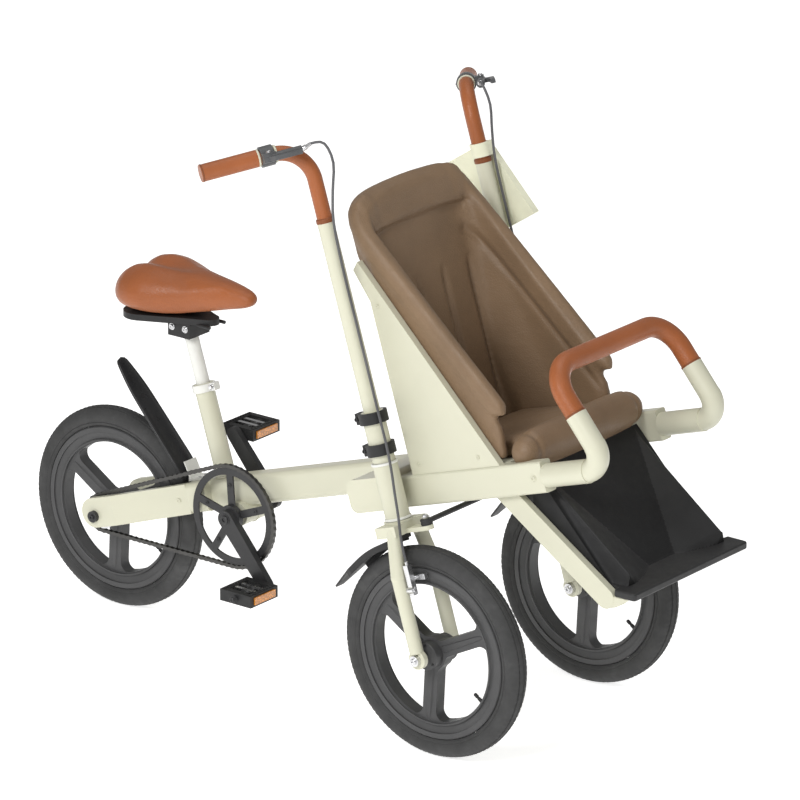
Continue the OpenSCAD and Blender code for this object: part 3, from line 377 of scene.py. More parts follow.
def path_frames(points, closed=False, first=None):
    """Positions with two directions square to the path, carried along without twist."""
    pts = [Vector(p) for p in points]
    count = len(pts)
    tangents = []
    for i in range(count):
        before = pts[i - 1] if (i or closed) else pts[i]
        after = pts[(i + 1) % count] if (i < count - 1 or closed) else pts[i]
        tangents.append((after - before).normalized())
    first = Vector(first) if first else tangents[0].orthogonal().normalized()
    out = []
    for point, tangent in zip(pts, tangents):
        first = (first - tangent * first.dot(tangent)).normalized()
        out.append((point, first, tangent.cross(first)))
    return out


def sweep(points, radius, sides=12, closed=False, bm=None, flat=1.0, first=None, square=1.0):
    """A tube along points; radius may be one number or one for each point. A square below 1 makes it boxy."""
    bm = bm or bmesh.new()
    frames = path_frames(points, closed, first)
    radii = radius if isinstance(radius, (list, tuple)) else [radius] * len(frames)
    section = []
    for k in range(sides):
        c, s = math.cos(2 * math.pi * k / sides), math.sin(2 * math.pi * k / sides)
        section.append((math.copysign(abs(c) ** square, c), math.copysign(abs(s) ** square, s) * flat))
    rings = [[point + (u * a + v * b) * r for a, b in section] for (point, u, v), r in zip(frames, radii)]
    ring_skin(bm, rings, closed)
    return bm


def smooth_path(points, steps=8):
    """A rounded curve through the points."""
    pts = [Vector(p) for p in points]
    out = []
    for i in range(len(pts) - 1):
        a, b, c, d = pts[max(i - 1, 0)], pts[i], pts[i + 1], pts[min(i + 2, len(pts) - 1)]
        for k in range(steps):
            t = k / steps
            out.append(0.5 * (2 * b + (c - a) * t + (2 * a - 5 * b + 4 * c - d) * t * t
                              + (3 * b - a - 3 * c + d) * t * t * t))
    out.append(pts[-1])
    return out


def prism_solid(outline, low, high, bm=None, axis="Y"):
    """An outline extruded from low to high: (x, z) along Y, or (y, z) along X."""
    bm = bm or bmesh.new()
    place = (lambda a, b, d: Vector((a, d, b))) if axis == "Y" else (lambda a, b, d: Vector((d, a, b)))
    ring_skin(bm, [[place(a, b, low) for a, b in outline], [place(a, b, high) for a, b in outline]])
    return bm


def facing(direction):
    """Turns Z to a direction."""
    return Vector((0, 0, 1)).rotation_difference(Vector(direction)).to_matrix().to_4x4()


def bolt(name, matrix, spot, direction, radius, height, body, material=None, sides=24):
    """A round-headed screw with a hexagon socket, standing on a washer."""
    bm = bmesh.new()
    washer, dome, socket = radius * 1.35, radius * 0.84, radius * 0.52
    # Radius and share of the height
    profile = [(washer, 0), (washer, 0.18), (radius, 0.2), (radius, 0.75), (dome, 1.0)]
    rings = [circle(r, h * height, sides) for r, h in profile]
    for depth in (height, height * 0.5):
        ring = []
        for i in range(sides):
            a = 2 * math.pi * i / sides
            flat = math.cos(math.pi / 6) / math.cos((a % (math.pi / 3)) - math.pi / 6)
            ring.append(Vector((socket * flat * math.cos(a), socket * flat * math.sin(a), depth)))
        rings.append(ring)
    ring_skin(bm, rings)
    return finish_mesh(name, bm, matrix @ shift(*spot) @ facing(direction), material or steel, body, True, 30)


def collar(name, matrix, spot, direction, inner, outer, width, body, material, sides=40):
    """A ring with rounded edges, round a tube."""
    bm = bmesh.new()
    edge = min((outer - inner) * 0.45, width * 0.3)
    half = width / 2
    profile = [(inner, -half), (outer - edge, -half), (outer, edge - half)]
    profile += [(r, -h) for r, h in reversed(profile)]
    ring_skin(bm, [circle(r, h, sides) for r, h in profile], closed=True)
    return finish_mesh(name, bm, matrix @ shift(*spot) @ facing(direction), material, body)


# Soft pieces: remesh, a short pressure simulation, then seams

def evaluated_mesh(obj):
    graph = bpy.context.evaluated_depsgraph_get()
    graph.update()
    return bpy.data.meshes.new_from_object(obj.evaluated_get(graph), depsgraph=graph)


def swap_mesh(obj, mesh):
    old = obj.data
    obj.modifiers.clear()
    obj.data = mesh
    if not mesh.materials:
        mesh.materials.append(old.materials[0])
    bpy.data.meshes.remove(old)


def relax(mesh, rounds, factor=0.5):
    bm = bmesh.new()
    bm.from_mesh(mesh)
    for _ in range(rounds):
        bmesh.ops.smooth_vert(
            bm, verts=bm.verts, factor=factor, use_axis_x=True, use_axis_y=True, use_axis_z=True)
    bm.to_mesh(mesh)
    bm.free()


def stuff(obj, voxel=5.0, pressure=4.0, cap=6.0, rounds=6, subdivide=1, groove=None):
    """Voxel remesh, cloth pressure with capped movement, sewn grooves, then subdivision."""
    remesh = obj.modifiers.new("remesh", "REMESH")
    remesh.mode = "VOXEL"
    remesh.voxel_size = voxel * MM
    swap_mesh(obj, evaluated_mesh(obj))
    relax(obj.data, rounds)
    rest = [v.co.copy() for v in obj.data.vertices]
    cloth = obj.modifiers.new("cloth", "CLOTH")
    cloth.settings.quality = 4
    cloth.settings.mass = 0.3
    cloth.settings.tension_stiffness = 15
    cloth.settings.compression_stiffness = 15
    cloth.settings.bending_stiffness = 2.0
    cloth.settings.use_pressure = True
    cloth.settings.uniform_pressure_force = pressure
    cloth.settings.effector_weights.gravity = 0.0
    cloth.collision_settings.use_collision = False
    cloth.point_cache.frame_start = 1
    cloth.point_cache.frame_end = 20
    for step in range(1, 21):
        scene.frame_set(step)
    swap_mesh(obj, evaluated_mesh(obj))
    for vertex, start in zip(obj.data.vertices, rest):
        move = vertex.co - start
        if move.length > cap * MM:
            vertex.co = start + move.normalized() * cap * MM
    scene.frame_set(1)
    relax(obj.data, 2)
    if groove:
        back = (TO_M @ groove[0]).inverted()
        obj.data.update()
        normals = [v.normal.copy() for v in obj.data.vertices]
        for vertex, normal in zip(obj.data.vertices, normals):
            vertex.co -= normal * groove[1](back @ vertex.co) * MM
    obj.data.shade_smooth()
    if subdivide:
        sub = obj.modifiers.new("smooth", "SUBSURF")
        sub.levels = sub.render_levels = subdivide
    return obj


def notch(distance, width, depth):
    return depth * math.exp(-(distance / width) ** 2)


# Child seat: one padded bucket from the back, the head band, the wings and their rolled rim
RIM_Y, RIM_R = 160.0, 13.0
RIM_END = (0.45, 0.72, 0.88, 0.96)  # the rim's taper at its front ends
rim_half = [(247, RIM_Y, 98), (240, RIM_Y, 114), (144, RIM_Y, 268), (56, RIM_Y, 407), (30, RIM_Y - 1, 447),
            (19, RIM_Y - 9, 475), (15, RIM_Y - 28, 494), (13, RIM_Y - 58, 503), (12, 50, 507), (12, 0, 508)]
rim_path = smooth_path(rim_half + [(x, -y, z) for x, y, z in reversed(rim_half[:-1])], 6)
rim_r = [RIM_R] * len(rim_path)
for i, k in enumerate(RIM_END):
    rim_r[i] *= k
    rim_r[-1 - i] *= k
bucket = bmesh.new()
sweep(rim_path, rim_r, 24, bm=bucket, flat=1.4, first=(0, 1, 0), square=0.55)


def mirrored(half):
    """A whole outline from its half on the +Y side."""
    return half + [(-y, z) for y, z in reversed(half)]


BACK = mirrored([(138, 2), (140, 330), (160, 404), (160, 440), (146, 476), (104, 500)])
HEAD = mirrored([(148, 440), (148, 466), (112, 496)])
prism_solid(BACK, 3, 25, bucket, "X")
prism_solid(HEAD, 6, 34, bucket, "X")
WING = [(34, 3), (240, 3), (246, 60), (228, 106), (38, 408), (10, 470), (8, 404), (34, 330)]
WING_IN, WING_OUT = 147, 166
ROOT = [(8, 112), (24, 112), (150, 146), (150, 160), (36, 164), (8, 138)]  # wedge between back and wing
ROOT_LOW, ROOT_TOP, ROOT_TAPER = 4, 430, 0.24
for side in (-1, 1):
    prism_solid(WING, *sorted((side * WING_IN, side * WING_OUT)), bucket)
    rear = ROOT[0][0]
    ring_skin(bucket, [[Vector((x, side * y, ROOT_LOW)) for x, y in ROOT],
                       [Vector((rear + (x - rear) * ROOT_TAPER, side * y, ROOT_TOP)) for x, y in ROOT]])


CHANNEL_Y, CORNER_Y, CHANNEL_TOP = 38, 114, 340
BAND = 54  # depth of the raised band under the rim
RIM_TOP, RIM_WAY = (43, 462), (0.847, 0.532)  # a point on the rim's line, and the direction square to it


def seat_groove(p):
    """Sewn lines: channels in the lower back, the corners, the head band's edge, the rim's inner edge."""
    cut = 0.0
    across = abs(p.y)
    if 12 < p.x < 60 and across < 130:
        fade = within((CHANNEL_TOP - p.z) / 40.0)
        for line in (-CHANNEL_Y, CHANNEL_Y):
            cut += notch(p.y - line, 5.5, 9.0) * fade
        cut += notch(across - CORNER_Y, 5.0, 10.0) * fade
        cut += notch(p.z - 442 + (p.y / 130) ** 2 * 14, 7.0, 2.6)
    if 108 < across < 150 and p.x > 20:
        along = (p.x - RIM_TOP[0]) * RIM_WAY[0] + (p.z - RIM_TOP[1]) * RIM_WAY[1]
        inside = within(min((150 - across) / 6, (across - 108) / 16))
        cut += (notch(along + BAND, 5.0, 4.5) - 3.0 * within((along + BAND - 4) / 8)) * inside
    return cut


seat_shell = finish_mesh("seat_shell", bucket, AT_SEAT, brown_hide, "frame")
stuff(seat_shell, 5.0, 3.0, 3.0, 6, 1, (AT_SEAT, seat_groove))
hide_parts("seat_back", "right_wing", "left_wing")

# Seat cushion with its front roll
ROLL_P, ROLL_Q = 284.0, 12.0
cushion = bmesh.new()
SEAT_PAD = [(34, 3), (34, 30), (60, 36), (225, 34), (262, 30), (262, 3)]
prism_solid(SEAT_PAD, -132, 132, cushion)
ROLL = [(180, 11), (172, 23), (160, 30), (140, 34), (70, 35), (0, 35)]  # distance from the middle, radius
roll = [(-y, r) for y, r in ROLL] + [(y, r) for y, r in reversed(ROLL[:-1])]
sweep([(ROLL_P, y, ROLL_Q) for y, r in roll], [r for y, r in roll], 24, bm=cushion)


def cushion_groove(p):
    """The seam behind the roll, and a round seam near each of its ends."""
    cut = notch(p.x - 246, 5.0, 6.0) if p.z > 20 and abs(p.y) < 140 else 0.0
    if p.x > 240:
        cut += notch(abs(p.y) - 146, 4.0, 3.6)
    return cut


seat_pad = finish_mesh("seat_cushion_pad", cushion, AT_SEAT, brown_hide, "frame")
stuff(seat_pad, 5.0, 3.0, 4.0, 6, 1, (AT_SEAT, cushion_groove))
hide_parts("seat_cushion")

# Rider's saddle: two lobes at the rear, a valley between them, and a narrow nose
SADDLE = [  # along, half width, top, widest height, bottom
    (-137, 30, 74, 62, 48), (-132, 54, 88, 62, 38), (-120, 74, 103, 62, 31), (-100, 89, 114, 62, 27),
    (-74, 95, 119, 62, 26.5), (-48, 93, 119, 62, 26.5), (-22, 83, 116, 64, 28), (4, 70, 113, 66, 32),
    (30, 57, 110, 69, 38), (56, 46, 108, 72, 44), (82, 37, 106, 75, 50), (106, 30, 104, 78, 56),
    (128, 25, 101, 80, 60), (146, 21, 97, 81, 64), (158, 15, 92, 81, 69), (165, 7, 86, 81, 76)]
VALLEY, VALLEY_W, SADDLE_SIDES = 17.0, 22.0, 40
saddle_bm = bmesh.new()
saddle_rings = []
for x, half, top, wide, low in SADDLE:
    valley = VALLEY * within((30 - x) / 80.0)
    ring = []
    for k in range(SADDLE_SIDES):
        a = 2 * math.pi * k / SADDLE_SIDES
        c, s = math.cos(a), math.sin(a)
        y = half * math.copysign(abs(c) ** 0.85, c)
        if s >= 0:
            z = wide + (top - wide) * s ** 0.88 - valley * math.exp(-(y / VALLEY_W) ** 2) * s
        else:
            z = wide - (wide - low) * abs(s) ** 0.85
        ring.append(Vector((x, y, z)))
    saddle_rings.append(ring)
ring_skin(saddle_bm, saddle_rings)
saddle_pad = finish_mesh("saddle_pad", saddle_bm, AT_POST, tan_hide, "frame")
stuff(saddle_pad, 5.0, 2.0, 2.5, 4, 1)
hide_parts("saddle")

# Tyres: a rounded carcass with a block tread and a rim bead
TYRE = [(-17.0, 163.0), (-19.5, 166.0), (-20.6, 169.0), (-19.4, 170.5), (-21.4, 174.0), (-22.6, 179.0),
        (-21.8, 184.5), (-19.6, 189.5), (-16.0, 193.8), (-11.5, 197.0), (-10.5, 195.6), (-9.0, 195.8),
        (-8.0, 198.4), (-3.0, 199.6), (-2.0, 198.0)]  # across, radius
TYRE = TYRE + [(-y, r) for y, r in reversed(TYRE)]
BLOCKS, BLOCK_STEPS = 112, 4
TREAD_R, RIB_Y, MIDDLE_Y = 189, 8.5, 2.5  # where the tread begins, and the edges of its middle ribs


def tread_sink(i, y, r):
    """Depth of the cuts between the tread blocks."""
    if r <= TREAD_R or abs(y) <= MIDDLE_Y:
        return 0.0
    if abs(y) > RIB_Y:
        return 0.8 if (i + (2 if y > 0 else 0)) % BLOCK_STEPS == 0 else 0.0
    return 0.7 if (i + (1 if y > 0 else 3)) % BLOCK_STEPS == 0 else 0.0


for wheel in WHEELS:
    bm = bmesh.new()
    rings = []
    for i in range(BLOCKS * BLOCK_STEPS):
        angle = 2 * math.pi * i / (BLOCKS * BLOCK_STEPS)
        radii = [(y, r - tread_sink(i, y, r)) for y, r in TYRE]
        rings.append([Vector((r * math.cos(angle), y, r * math.sin(angle))) for y, r in radii])
    ring_skin(bm, rings, closed=True)
    body = wheel + "_wheel"
    tyre = finish_mesh(wheel + "_tyre_tread", bm, at_hub(wheel), tyre_rubber, body, True, 32)
    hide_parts(wheel + "_tyre")

# Wheel fittings: valve stem, hub rings and bolts
VALVE_ANGLE, VALVE_R = -34.7, 131.0
VALVE = [(6.5, -6), (6.0, -1), (3.6, 0), (3.4, 12), (2.7, 12.5), (2.7, 15), (3.4, 15.5), (3.4, 22), (2.4, 24)]
HUB_BOLT_R = 21.5
for wheel in WHEELS:
    body = wheel + "_wheel"
    a = math.radians(VALVE_ANGLE)
    way = Vector((math.cos(a), 0, math.sin(a)))
    spot = shift(*(way * VALVE_R)) @ facing(-way)
    finish_mesh(wheel + "_valve", lathe(VALVE, 20), at_hub(wheel) @ spot, soft_black, body)
    reach = 44 if wheel == "rear" else 33
    for tag, side in (("r", -1), ("l", 1)):
        out = (0, side, 0)
        spot = (0, side * (reach - 2), 0)
        collar(f"{wheel}_hub_ring_{tag}", at_hub(wheel), spot, out, 18, 26, 3, body, wheel_black)
        for k in range(3):
            b = math.radians(-33 + 120 * k)
            spot = (HUB_BOLT_R * math.cos(b), side * (reach - 0.5), HUB_BOLT_R * math.sin(b))
            bolt(f"{wheel}_hub_bolt_{tag}{k}", at_hub(wheel), spot, out, 2.4, 2.4, body, black_metal)

# Rims: a raised lip at the tyre, a bead round the windows, and a rib on each spoke
SPOKE_ANGLE = -93.0
RIB = ((27, 7.5, 0.6), (34, 7.5, 2.6), (112, 5.5, 2.6), (126, 4.5, 0.4))  # radius, half width, height
for wheel in WHEELS:
    body = wheel + "_wheel"
    for tag, side in (("r", -1), ("l", 1)):
        spot, out = (0, side * 17, 0), (0, side, 0)
        collar(f"{wheel}_rim_lip_{tag}", at_hub(wheel), spot, out, 151, 161.5, 5, body, wheel_black, 96)
        collar(f"{wheel}_rim_bead_{tag}", at_hub(wheel), spot, out, 132.5, 136, 2.4, body, wheel_black, 96)
        ribs = bmesh.new()
        for k in range(3):
            spin = turn(-(SPOKE_ANGLE + 120 * k), "Y")
            rings = []
            for r, w, h in RIB:
                section = [(11.5, w), (12 + h, w - 2.2), (12 + h, 2.2 - w), (11.5, -w)]
                rings.append([spin @ Vector((r, side * y, z)) for y, z in section])
            ring_skin(ribs, rings)
        finish_mesh(f"{wheel}_spoke_ribs_{tag}", ribs, at_hub(wheel), wheel_black, body, True, 30)

# Steering: bearing cups, clamp bolts, sleeve collars, lever rings, cable barrels, tie rod boots
LEVER_SET = 76.0
KNUCKLE = 64.0
BAR_Q, BAR_TURN, GRIP_END = 664, 180 - 53, 197.5
COLUMN_R = 13.8  # inside of the rings on column and bar
BARREL = [(3.4, -2), (4.8, 0), (4.8, 9), (3.6, 10), (3.6, 18), (2.6, 19)]
FERRULE = [(2.7, -9), (3.6, -8), (3.6, 2), (2.7, 3)]
BOOT = [(7.5, -6), (10.6, -5.4), (11.2, -2.5), (10.2, 0), (11.2, 2.5), (10.6, 5.4), (7.5, 6)]
for name, side in SIDES:
    body = name + "_steer"
    place = at_axis(side)
    for tag, q, width in (("low", -30.0, 5), ("top", 73.0, 5)):
        collar(f"{name}_cup_{tag}", place, (0, 0, q), (0, 0, 1), 22.6, 25.2, width, "frame", white)
    for tag, q in (("low", 99.5), ("top", 159.0)):
        for k, y in enumerate((-9, 9)):
            out = (0, math.copysign(1, y), 0)
            bolt(f"{name}_clamp_bolt_{tag}{k}", place, (-31, y, q), out, 4.2, 4.5, body, black_metal)
    collar(f"{name}_sleeve_collar", place, (0, 0, 525), (0, 0, 1), COLUMN_R, 16.6, 9, body, tan_dark)
    at_bar = place @ shift(0, 0, BAR_Q) @ turn(BAR_TURN, "Z") @ MIRROR_Y
    for k, along in enumerate((LEVER_SET - 16, LEVER_SET + 16)):
        collar(f"{name}_lever_ring{k}", at_bar, (along, 0, 0), (1, 0, 0), COLUMN_R, 16.4, 5, body, cream)
    collar(f"{name}_grip_end", at_bar, (GRIP_END, 0, 0), (1, 0, 0), 8, 16.6, 5, body, tan_dark)
    bolt(f"{name}_lever_pivot", at_bar, (LEVER_SET, 28, 8), (0, 0, 1), 4.0, 3.4, body)
    bolt(f"{name}_lever_pinch", at_bar, (LEVER_SET, -17, 0), (0, -1, 0), 3.4, 3.6, body)
    cable_start = place @ shift(13, 29.3, 662) @ facing((11, -15.3, 6))
    finish_mesh(f"{name}_cable_barrel", lathe(BARREL, 20), cable_start, steel, body)
    finish_mesh(f"{name}_cable_ferrule", lathe(FERRULE, 16), place @ shift(34, 46, -105), steel, body)
    bolt(f"{name}_pin_nut", place, (KNUCKLE, 0, -34), (0, 0, 1), 6.0, 5.0, body)
    at_pin = place @ shift(KNUCKLE, 0, -42.5)
    finish_mesh(f"{name}_tie_boot", lathe(BOOT, 28), at_pin, soft_black, "tie_rod_body")
    at_fork = IN_FRAME @ shift(HUB_P, side * AXIS_Y, HUB_Q)
    for tag, way in (("out", side), ("in", -side)):
        bolt(f"{name}_axle_cap_{tag}", at_hub(name), (0, way * 66, 0), (0, way, 0), 5.5, 4.0, body, steel)
    for tag, way in (("out", side), ("in", -side)):
        bolt(f"{name}_brake_pivot_{tag}", at_fork, (27, way * 48, 128), (1, 0, 0), 5.0, 3.6, body)

# Drive: chainring bolts, crank caps, pedal studs and cages, rear axle caps
CRANK = (-250.436, 0.0, 265.342)
CRANK_ANGLE, CRANK_L, PEDAL_Y = -50.0, 145, 119
RING_BOLT_R = 62
at_crank = shift(*CRANK) @ turn(-CRANK_ANGLE, "Y")
for k in range(5):
    a = math.radians(72 * k)
    spot = (RING_BOLT_R * math.cos(a), -54, RING_BOLT_R * math.sin(a))
    bolt(f"ring_bolt{k}", at_crank, spot, (0, -1, 0), 3.6, 2.4, "crank", black_metal)
for name, side in SIDES:
    bolt(f"{name}_crank_cap", shift(*CRANK), (0, side * 75, 0), (0, side, 0), 8.5, 3.6, "crank", black_metal)
    a = math.radians(CRANK_ANGLE)
    arm_x, arm_z = side * CRANK_L * math.cos(a), side * CRANK_L * math.sin(a)
    pedal = shift(CRANK[0] - arm_x, side * PEDAL_Y, CRANK[2] - arm_z)
    body = name + "_pedal_body"
    for k, up in enumerate((1, -1)):
        plate = bmesh.new()
        for x in (-31, 31):
            for y in range(-32, 33, 8):
                prism_solid([(x - 4.5, up * 11), (x + 4.5, up * 11), (x + 3, up * 13.2), (x - 3, up * 13.2)],
                            y - 2.2, y + 2.2, plate)
        finish_mesh(f"{name}_pedal_studs{k}", plate, pedal, soft_black, body, False)
        cage = bmesh.new()
        for y in (-10, 10):
            strip = [(-24.5, up * 7), (24.5, up * 7), (24.5, up * 10.4), (-24.5, up * 10.4)]
            prism_solid(strip, y - 4, y + 4, cage)
        finish_mesh(f"{name}_pedal_cage{k}", cage, pedal, steel, body, False)
    bolt(f"{name}_pedal_cap", pedal, (0, side * 49, 0), (0, side, 0), 5.0, 2.6, body, black_metal)
    out = (0, side, 0)
    bolt(f"{name}_rear_axle_cap", at_hub("rear"), (0, side * 84, 0), out, 5.0, 3.4, "frame", black_metal)

# Frame fittings: weld beads, panel screws, arm pins, stay bolts, seat clamp screw, saddle clamp screws
WELDS = (("seat_tube", (SEAT_TUBE_P, 0, 36), (0, 0, 1), 19.4), ("shell", (327, 0, -34), (0, 1, 0), 23.2))
PANEL_SCREWS = ((54, 54), (196, 54), (50, 350))  # ahead of the beam's front, and up
for tag, spot, way, r in WELDS:
    line = circle(r, 0, 72)
    for k, point in enumerate(line):
        point.z = 0.5 * math.sin(k * 2.6)
    bead = sweep(line, 1.6, 8, closed=True)
    finish_mesh(f"weld_{tag}", bead, IN_FRAME @ shift(*spot) @ facing(way), cream, "frame")
for name, side in SIDES:
    out = (0, side, 0)
    for k, (p, q) in enumerate(PANEL_SCREWS):
        spot = (BEAM_FRONT + p, side * PANEL_Y, q)
        bolt(f"{name}_panel_screw{k}", IN_FRAME, spot, out, 3.6, 2.4, "frame", cream)
    bolt(f"{name}_arm_pin", IN_FRAME, (ARM_END - 22, side * 190, 6), out, 5.0, 2.6, "frame", cream)
    bolt(f"{name}_stay_bolt", IN_FRAME, (196, side * 45.5, 6), out, 4.2, 2.4, "frame", cream)
bolt("seat_clamp_screw", IN_FRAME, (SEAT_TUBE_P + 26, -8, 208.5), (0, -1, 0), 4.5, 5.0, "frame")
for k, x in enumerate((-16, 16)):
    bolt(f"saddle_clamp_screw{k}", AT_POST, (x, -30, 2), (0, -1, 0), 5.0, 4.0, "frame")

# Grab bar: dark collars where the sleeve begins
GRAB_LEAN = 23.0
for name, side in SIDES:
    corner = IN_FRAME @ shift(ARM_END + 140, side * 175, 6) @ turn(-GRAB_LEAN, "Y")
    collar(f"{name}_grab_collar", corner, (0, 0, 114), (0, 0, 1), 18.8, 20.3, 4, "frame", tan_dark)

# Footrest: a sloping floor that narrows between two wedge-shaped cheeks, over a foot plate
AT_TIP = shift(587.64, 0, 539.5)
TRAY_REAR, TRAY_STEP, TRAY_ROWS = -55, 2.5, 83
TRAY_HALF, TRAY_COLUMNS = 156, 131
TRAY_FOOT, TRAY_LOW = -156.0, -166
CREST_Y, VALLEY_Y = 143.0, 35
FRONT_X, FRONT_SLOPE = 130, 0.268
CREST_SLOPE = 0.766


def tray_floor(x):
    return 14 - (x + 46) * 1.042


def tray_cheek(x, y):
    """A cheek's height: it rises outward to its crest and drops steeply outside it and at its front."""
    across = abs(y)
    outside = max(0.0, across - CREST_Y)
    ahead = max(0.0, x - (FRONT_X + (across - VALLEY_Y) * FRONT_SLOPE) + 9)
    return -82.9 - CREST_SLOPE * x + 0.4454 * min(across, CREST_Y) - outside * 9.0 - ahead * 3.0


def tray_under(x, z):
    return min(max(-52 - (x + 50) * 0.652, TRAY_LOW), z - 6)


tray_x = [TRAY_REAR + TRAY_STEP * i for i in range(TRAY_ROWS)]
tray_y = [-TRAY_HALF + 2 * TRAY_HALF * j / (TRAY_COLUMNS - 1) for j in range(TRAY_COLUMNS)]
heights = [[max(tray_floor(x), tray_cheek(x, y), TRAY_FOOT) for y in tray_y] for x in tray_x]
for _ in range(2):
    soft = [row[:] for row in heights]
    for i in range(1, TRAY_ROWS - 1):
        for j in range(1, TRAY_COLUMNS - 1):
            beside = heights[i - 1][j] + heights[i + 1][j] + heights[i][j - 1] + heights[i][j + 1]
            soft[i][j] = (2 * heights[i][j] + beside) / 6
    heights = soft
tray = bmesh.new()
tops = [[tray.verts.new((x, y, z)) for y, z in zip(tray_y, row)] for x, row in zip(tray_x, heights)]
lows = [[tray.verts.new((x, y, tray_under(x, z))) for y, z in zip(tray_y, row)]
        for x, row in zip(tray_x, heights)]
for i in range(TRAY_ROWS - 1):
    for j in range(TRAY_COLUMNS - 1):
        top = tray.faces.new((tops[i][j], tops[i + 1][j], tops[i + 1][j + 1], tops[i][j + 1]))
        # Cheek faces take material 1, the lighter black, as painted light against the floor's darker black,
        # which is painted shade
        cheek = tray_cheek(tray_x[i], tray_y[j]) > max(tray_floor(tray_x[i]), TRAY_FOOT)
        if cheek and abs(tray_y[j]) < CREST_Y + 1:
            top.material_index = 1
        tray.faces.new((lows[i][j], lows[i][j + 1], lows[i + 1][j + 1], lows[i + 1][j]))
    for j in (0, TRAY_COLUMNS - 1):
        tray.faces.new((tops[i][j], lows[i][j], lows[i + 1][j], tops[i + 1][j]))
for j in range(TRAY_COLUMNS - 1):
    for i in (0, TRAY_ROWS - 1):
        tray.faces.new((tops[i][j], lows[i][j], lows[i][j + 1], tops[i][j + 1]))
tray_piece = finish_mesh("footrest_tray", tray, AT_TIP, tray_black_painted_shade, "frame", True, 50)
tray_piece.data.materials.append(footrest_black_painted_light)
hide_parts("footrest")


def round_edges(obj, width, segments):
    edge = obj.modifiers.new("edge", "BEVEL")
    edge.width, edge.segments = width * MM, segments


# Foot plate between and ahead of the rails, and the rails' toes under it
PLATE_LOW, PLATE_TOP = -169, -155
RAIL_IN, RAIL_OUT = 158.4, 171.6
plate_half = [(112, 150), (120, 156.5), (136, 156.5), (139, 174), (180, 174), (184.5, 170)]
plate_line = plate_half + [(x, -y) for x, y in reversed(plate_half)]
plate = bmesh.new()
ring_skin(plate, [[Vector((x, y, z)) for x, y in plate_line] for z in (PLATE_LOW, PLATE_TOP)])
# The foot plate takes the lighter black too: painted light
foot_plate = finish_mesh("foot_plate", plate, AT_TIP, footrest_black_painted_light, "frame", True, 35)
round_edges(foot_plate, 3, 3)
TOE = [(100, -172), (150, -169.2), (166, -169.2), (163, -174), (152, -183), (138, -191), (124, -195.5),
       (110, -194)]
for name, side in SIDES:
    toe = prism_solid(TOE, *sorted((side * RAIL_IN, side * RAIL_OUT)))
    round_edges(finish_mesh(name + "_rail_toe", toe, AT_TIP, cream, "frame", True, 35), 2, 2)

# Rear fender: a thin arched blade with rolled edges and a pointed tail
FENDER_R, FENDER_TAIL = 209.8, 219
FENDER_FROM, FENDER_TO = 10.6, 25.1
FENDER_HALF, FENDER_ARCH = 27.5, 9.0
POINT_FROM = 0.62  # share of the tail where the point begins
ARC_STEPS, TAIL_STEPS, ACROSS_STEPS = 6, 12, 14
fender_line = []  # along, up, the blade's direction, share of the tail
for k in range(ARC_STEPS + 1):
    a = math.radians(FENDER_FROM + (FENDER_TO - FENDER_FROM) * k / ARC_STEPS)
    fender_line.append((FENDER_R * math.cos(a), FENDER_R * math.sin(a), a, 0.0))
end_p, end_q, end_a, _ = fender_line[-1]
for k in range(1, TAIL_STEPS + 1):
    far = FENDER_TAIL * k / TAIL_STEPS
    fender_line.append((end_p - math.sin(end_a) * far, end_q + math.cos(end_a) * far, end_a, k / TAIL_STEPS))
steps = [-1 + 2 * i / ACROSS_STEPS for i in range(ACROSS_STEPS + 1)]
blade_rings = []
for p, q, a, t in fender_line:
    half = FENDER_HALF - 4.5 * t - 11.0 * (max(0.0, t - POINT_FROM) / (1 - POINT_FROM)) ** 1.6
    arch = FENDER_ARCH * (1 - 0.45 * t)
    section = [(u, 1.7 - arch * u * u + (1.6 if abs(u) > 0.85 else 0.0)) for u in steps]
    section += [(u, -1.3 - arch * u * u - (0.6 if abs(u) > 0.9 else 0.0)) for u in reversed(steps)]
    out_p, out_q = math.cos(a), math.sin(a)
    blade_rings.append([Vector((p + out_p * lift, half * u, q + out_q * lift)) for u, lift in section])
blade = bmesh.new()
ring_skin(blade, blade_rings)
rear_blade = finish_mesh("rear_fender_blade", blade, IN_FRAME, fender_black, "frame", True, 45)
blade_round = rear_blade.modifiers.new("round", "SUBSURF")
blade_round.levels = blade_round.render_levels = 1
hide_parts("rear_fender")
bracket = bmesh.new()
BRACKET = [(206, 35.2), (238, 35.2), (240, 36.5), (240, 38.5), (214, 40), (212.6, 44), (210, 62), (207.5, 74),
           (205, 73), (207.5, 60), (209.5, 44), (208, 40)]
prism_solid(BRACKET, -17, 17, bracket)
finish_mesh("fender_bracket", bracket, IN_FRAME, white, "frame", True, 30)
for k, y in enumerate((-9, 9)):
    bolt(f"fender_bolt{k}", IN_FRAME, (229, y, 38.6), (0, 0, 1), 3.4, 2.6, "frame")

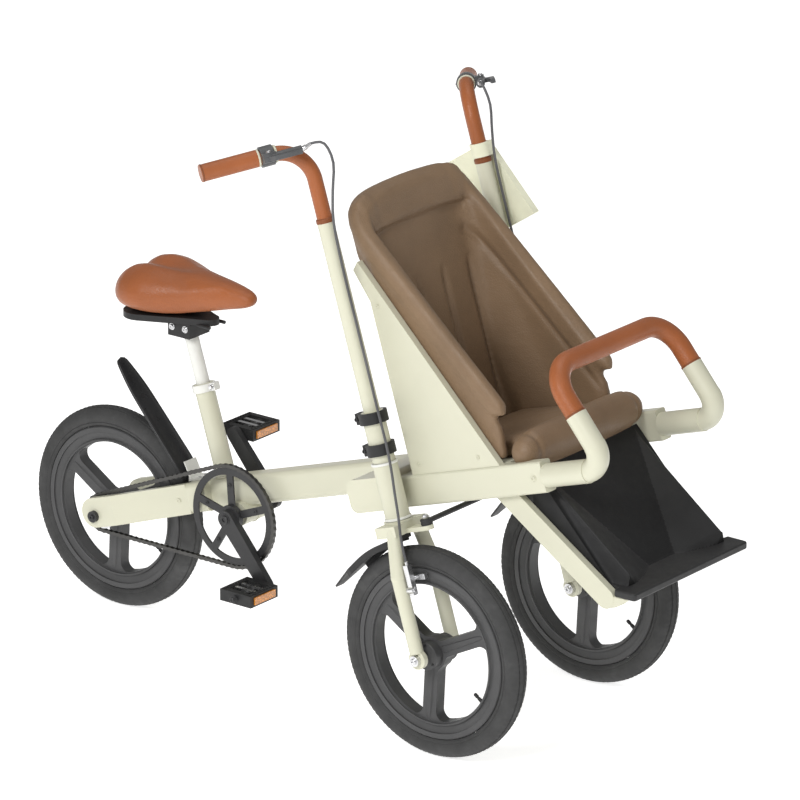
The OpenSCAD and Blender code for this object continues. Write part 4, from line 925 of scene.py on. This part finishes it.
# Floor, light and camera
FLOOR_HALF = 40000
bm = bmesh.new()
bmesh.ops.create_grid(bm, x_segments=1, y_segments=1, size=FLOOR_HALF)
floor_mesh = bpy.data.meshes.new("floor")
bm.transform(TO_M)
bm.to_mesh(floor_mesh)
bm.free()
floor_mat, _, floor_shader = new_material("pale_floor", (0.92, 0.92, 0.915), 0.8, specular=0.1)
floor_shader.inputs["Emission Color"].default_value = (1.0, 1.0, 1.0, 1.0)
floor_shader.inputs["Emission Strength"].default_value = 0.74
floor_mesh.materials.append(floor_mat)
floor = bpy.data.objects.new("floor", floor_mesh)
scene.collection.objects.link(floor)

world = bpy.data.worlds.new("studio")
world.use_nodes = True
world.node_tree.nodes["Background"].inputs["Color"].default_value = (1.0, 0.995, 0.98, 1.0)
world.node_tree.nodes["Background"].inputs["Strength"].default_value = 0.3
scene.world = world


def area_light(name, spot, aim, size, power):
    data = bpy.data.lights.new(name, "AREA")
    data.size = size
    data.energy = power
    light = bpy.data.objects.new(name, data)
    light.location = spot
    light.rotation_euler = (Vector(aim) - Vector(spot)).to_track_quat("-Z", "Y").to_euler()
    scene.collection.objects.link(light)


TARGET = Vector((0.1084, 0.0, 0.56))
area_light("key", (0.75, -4.3, 3.6), TARGET, 1.8, 170)
area_light("fill", (3.6, -3.4, 2.2), TARGET, 3.0, 16)
area_light("top", (0.0, 0.6, 4.8), TARGET, 3.0, 52)

AZIMUTH, ELEVATION, DISTANCE = math.radians(38.03), math.radians(19.21), 12.0
FOCAL_PX, PICTURE_PX, SENSOR = 6524.0, 800.0, 36.0
lens = bpy.data.cameras.new("camera")
lens.sensor_width = SENSOR
lens.lens = FOCAL_PX / PICTURE_PX * SENSOR
lens.clip_end = 200.0
camera = bpy.data.objects.new("camera", lens)
camera.location = TARGET + DISTANCE * Vector((math.cos(ELEVATION) * math.sin(AZIMUTH),
                                              -math.cos(ELEVATION) * math.cos(AZIMUTH), math.sin(ELEVATION)))
camera.rotation_euler = (TARGET - camera.location).to_track_quat("-Z", "Y").to_euler()
scene.collection.objects.link(camera)
scene.camera = camera
scene.view_settings.view_transform = "Standard"
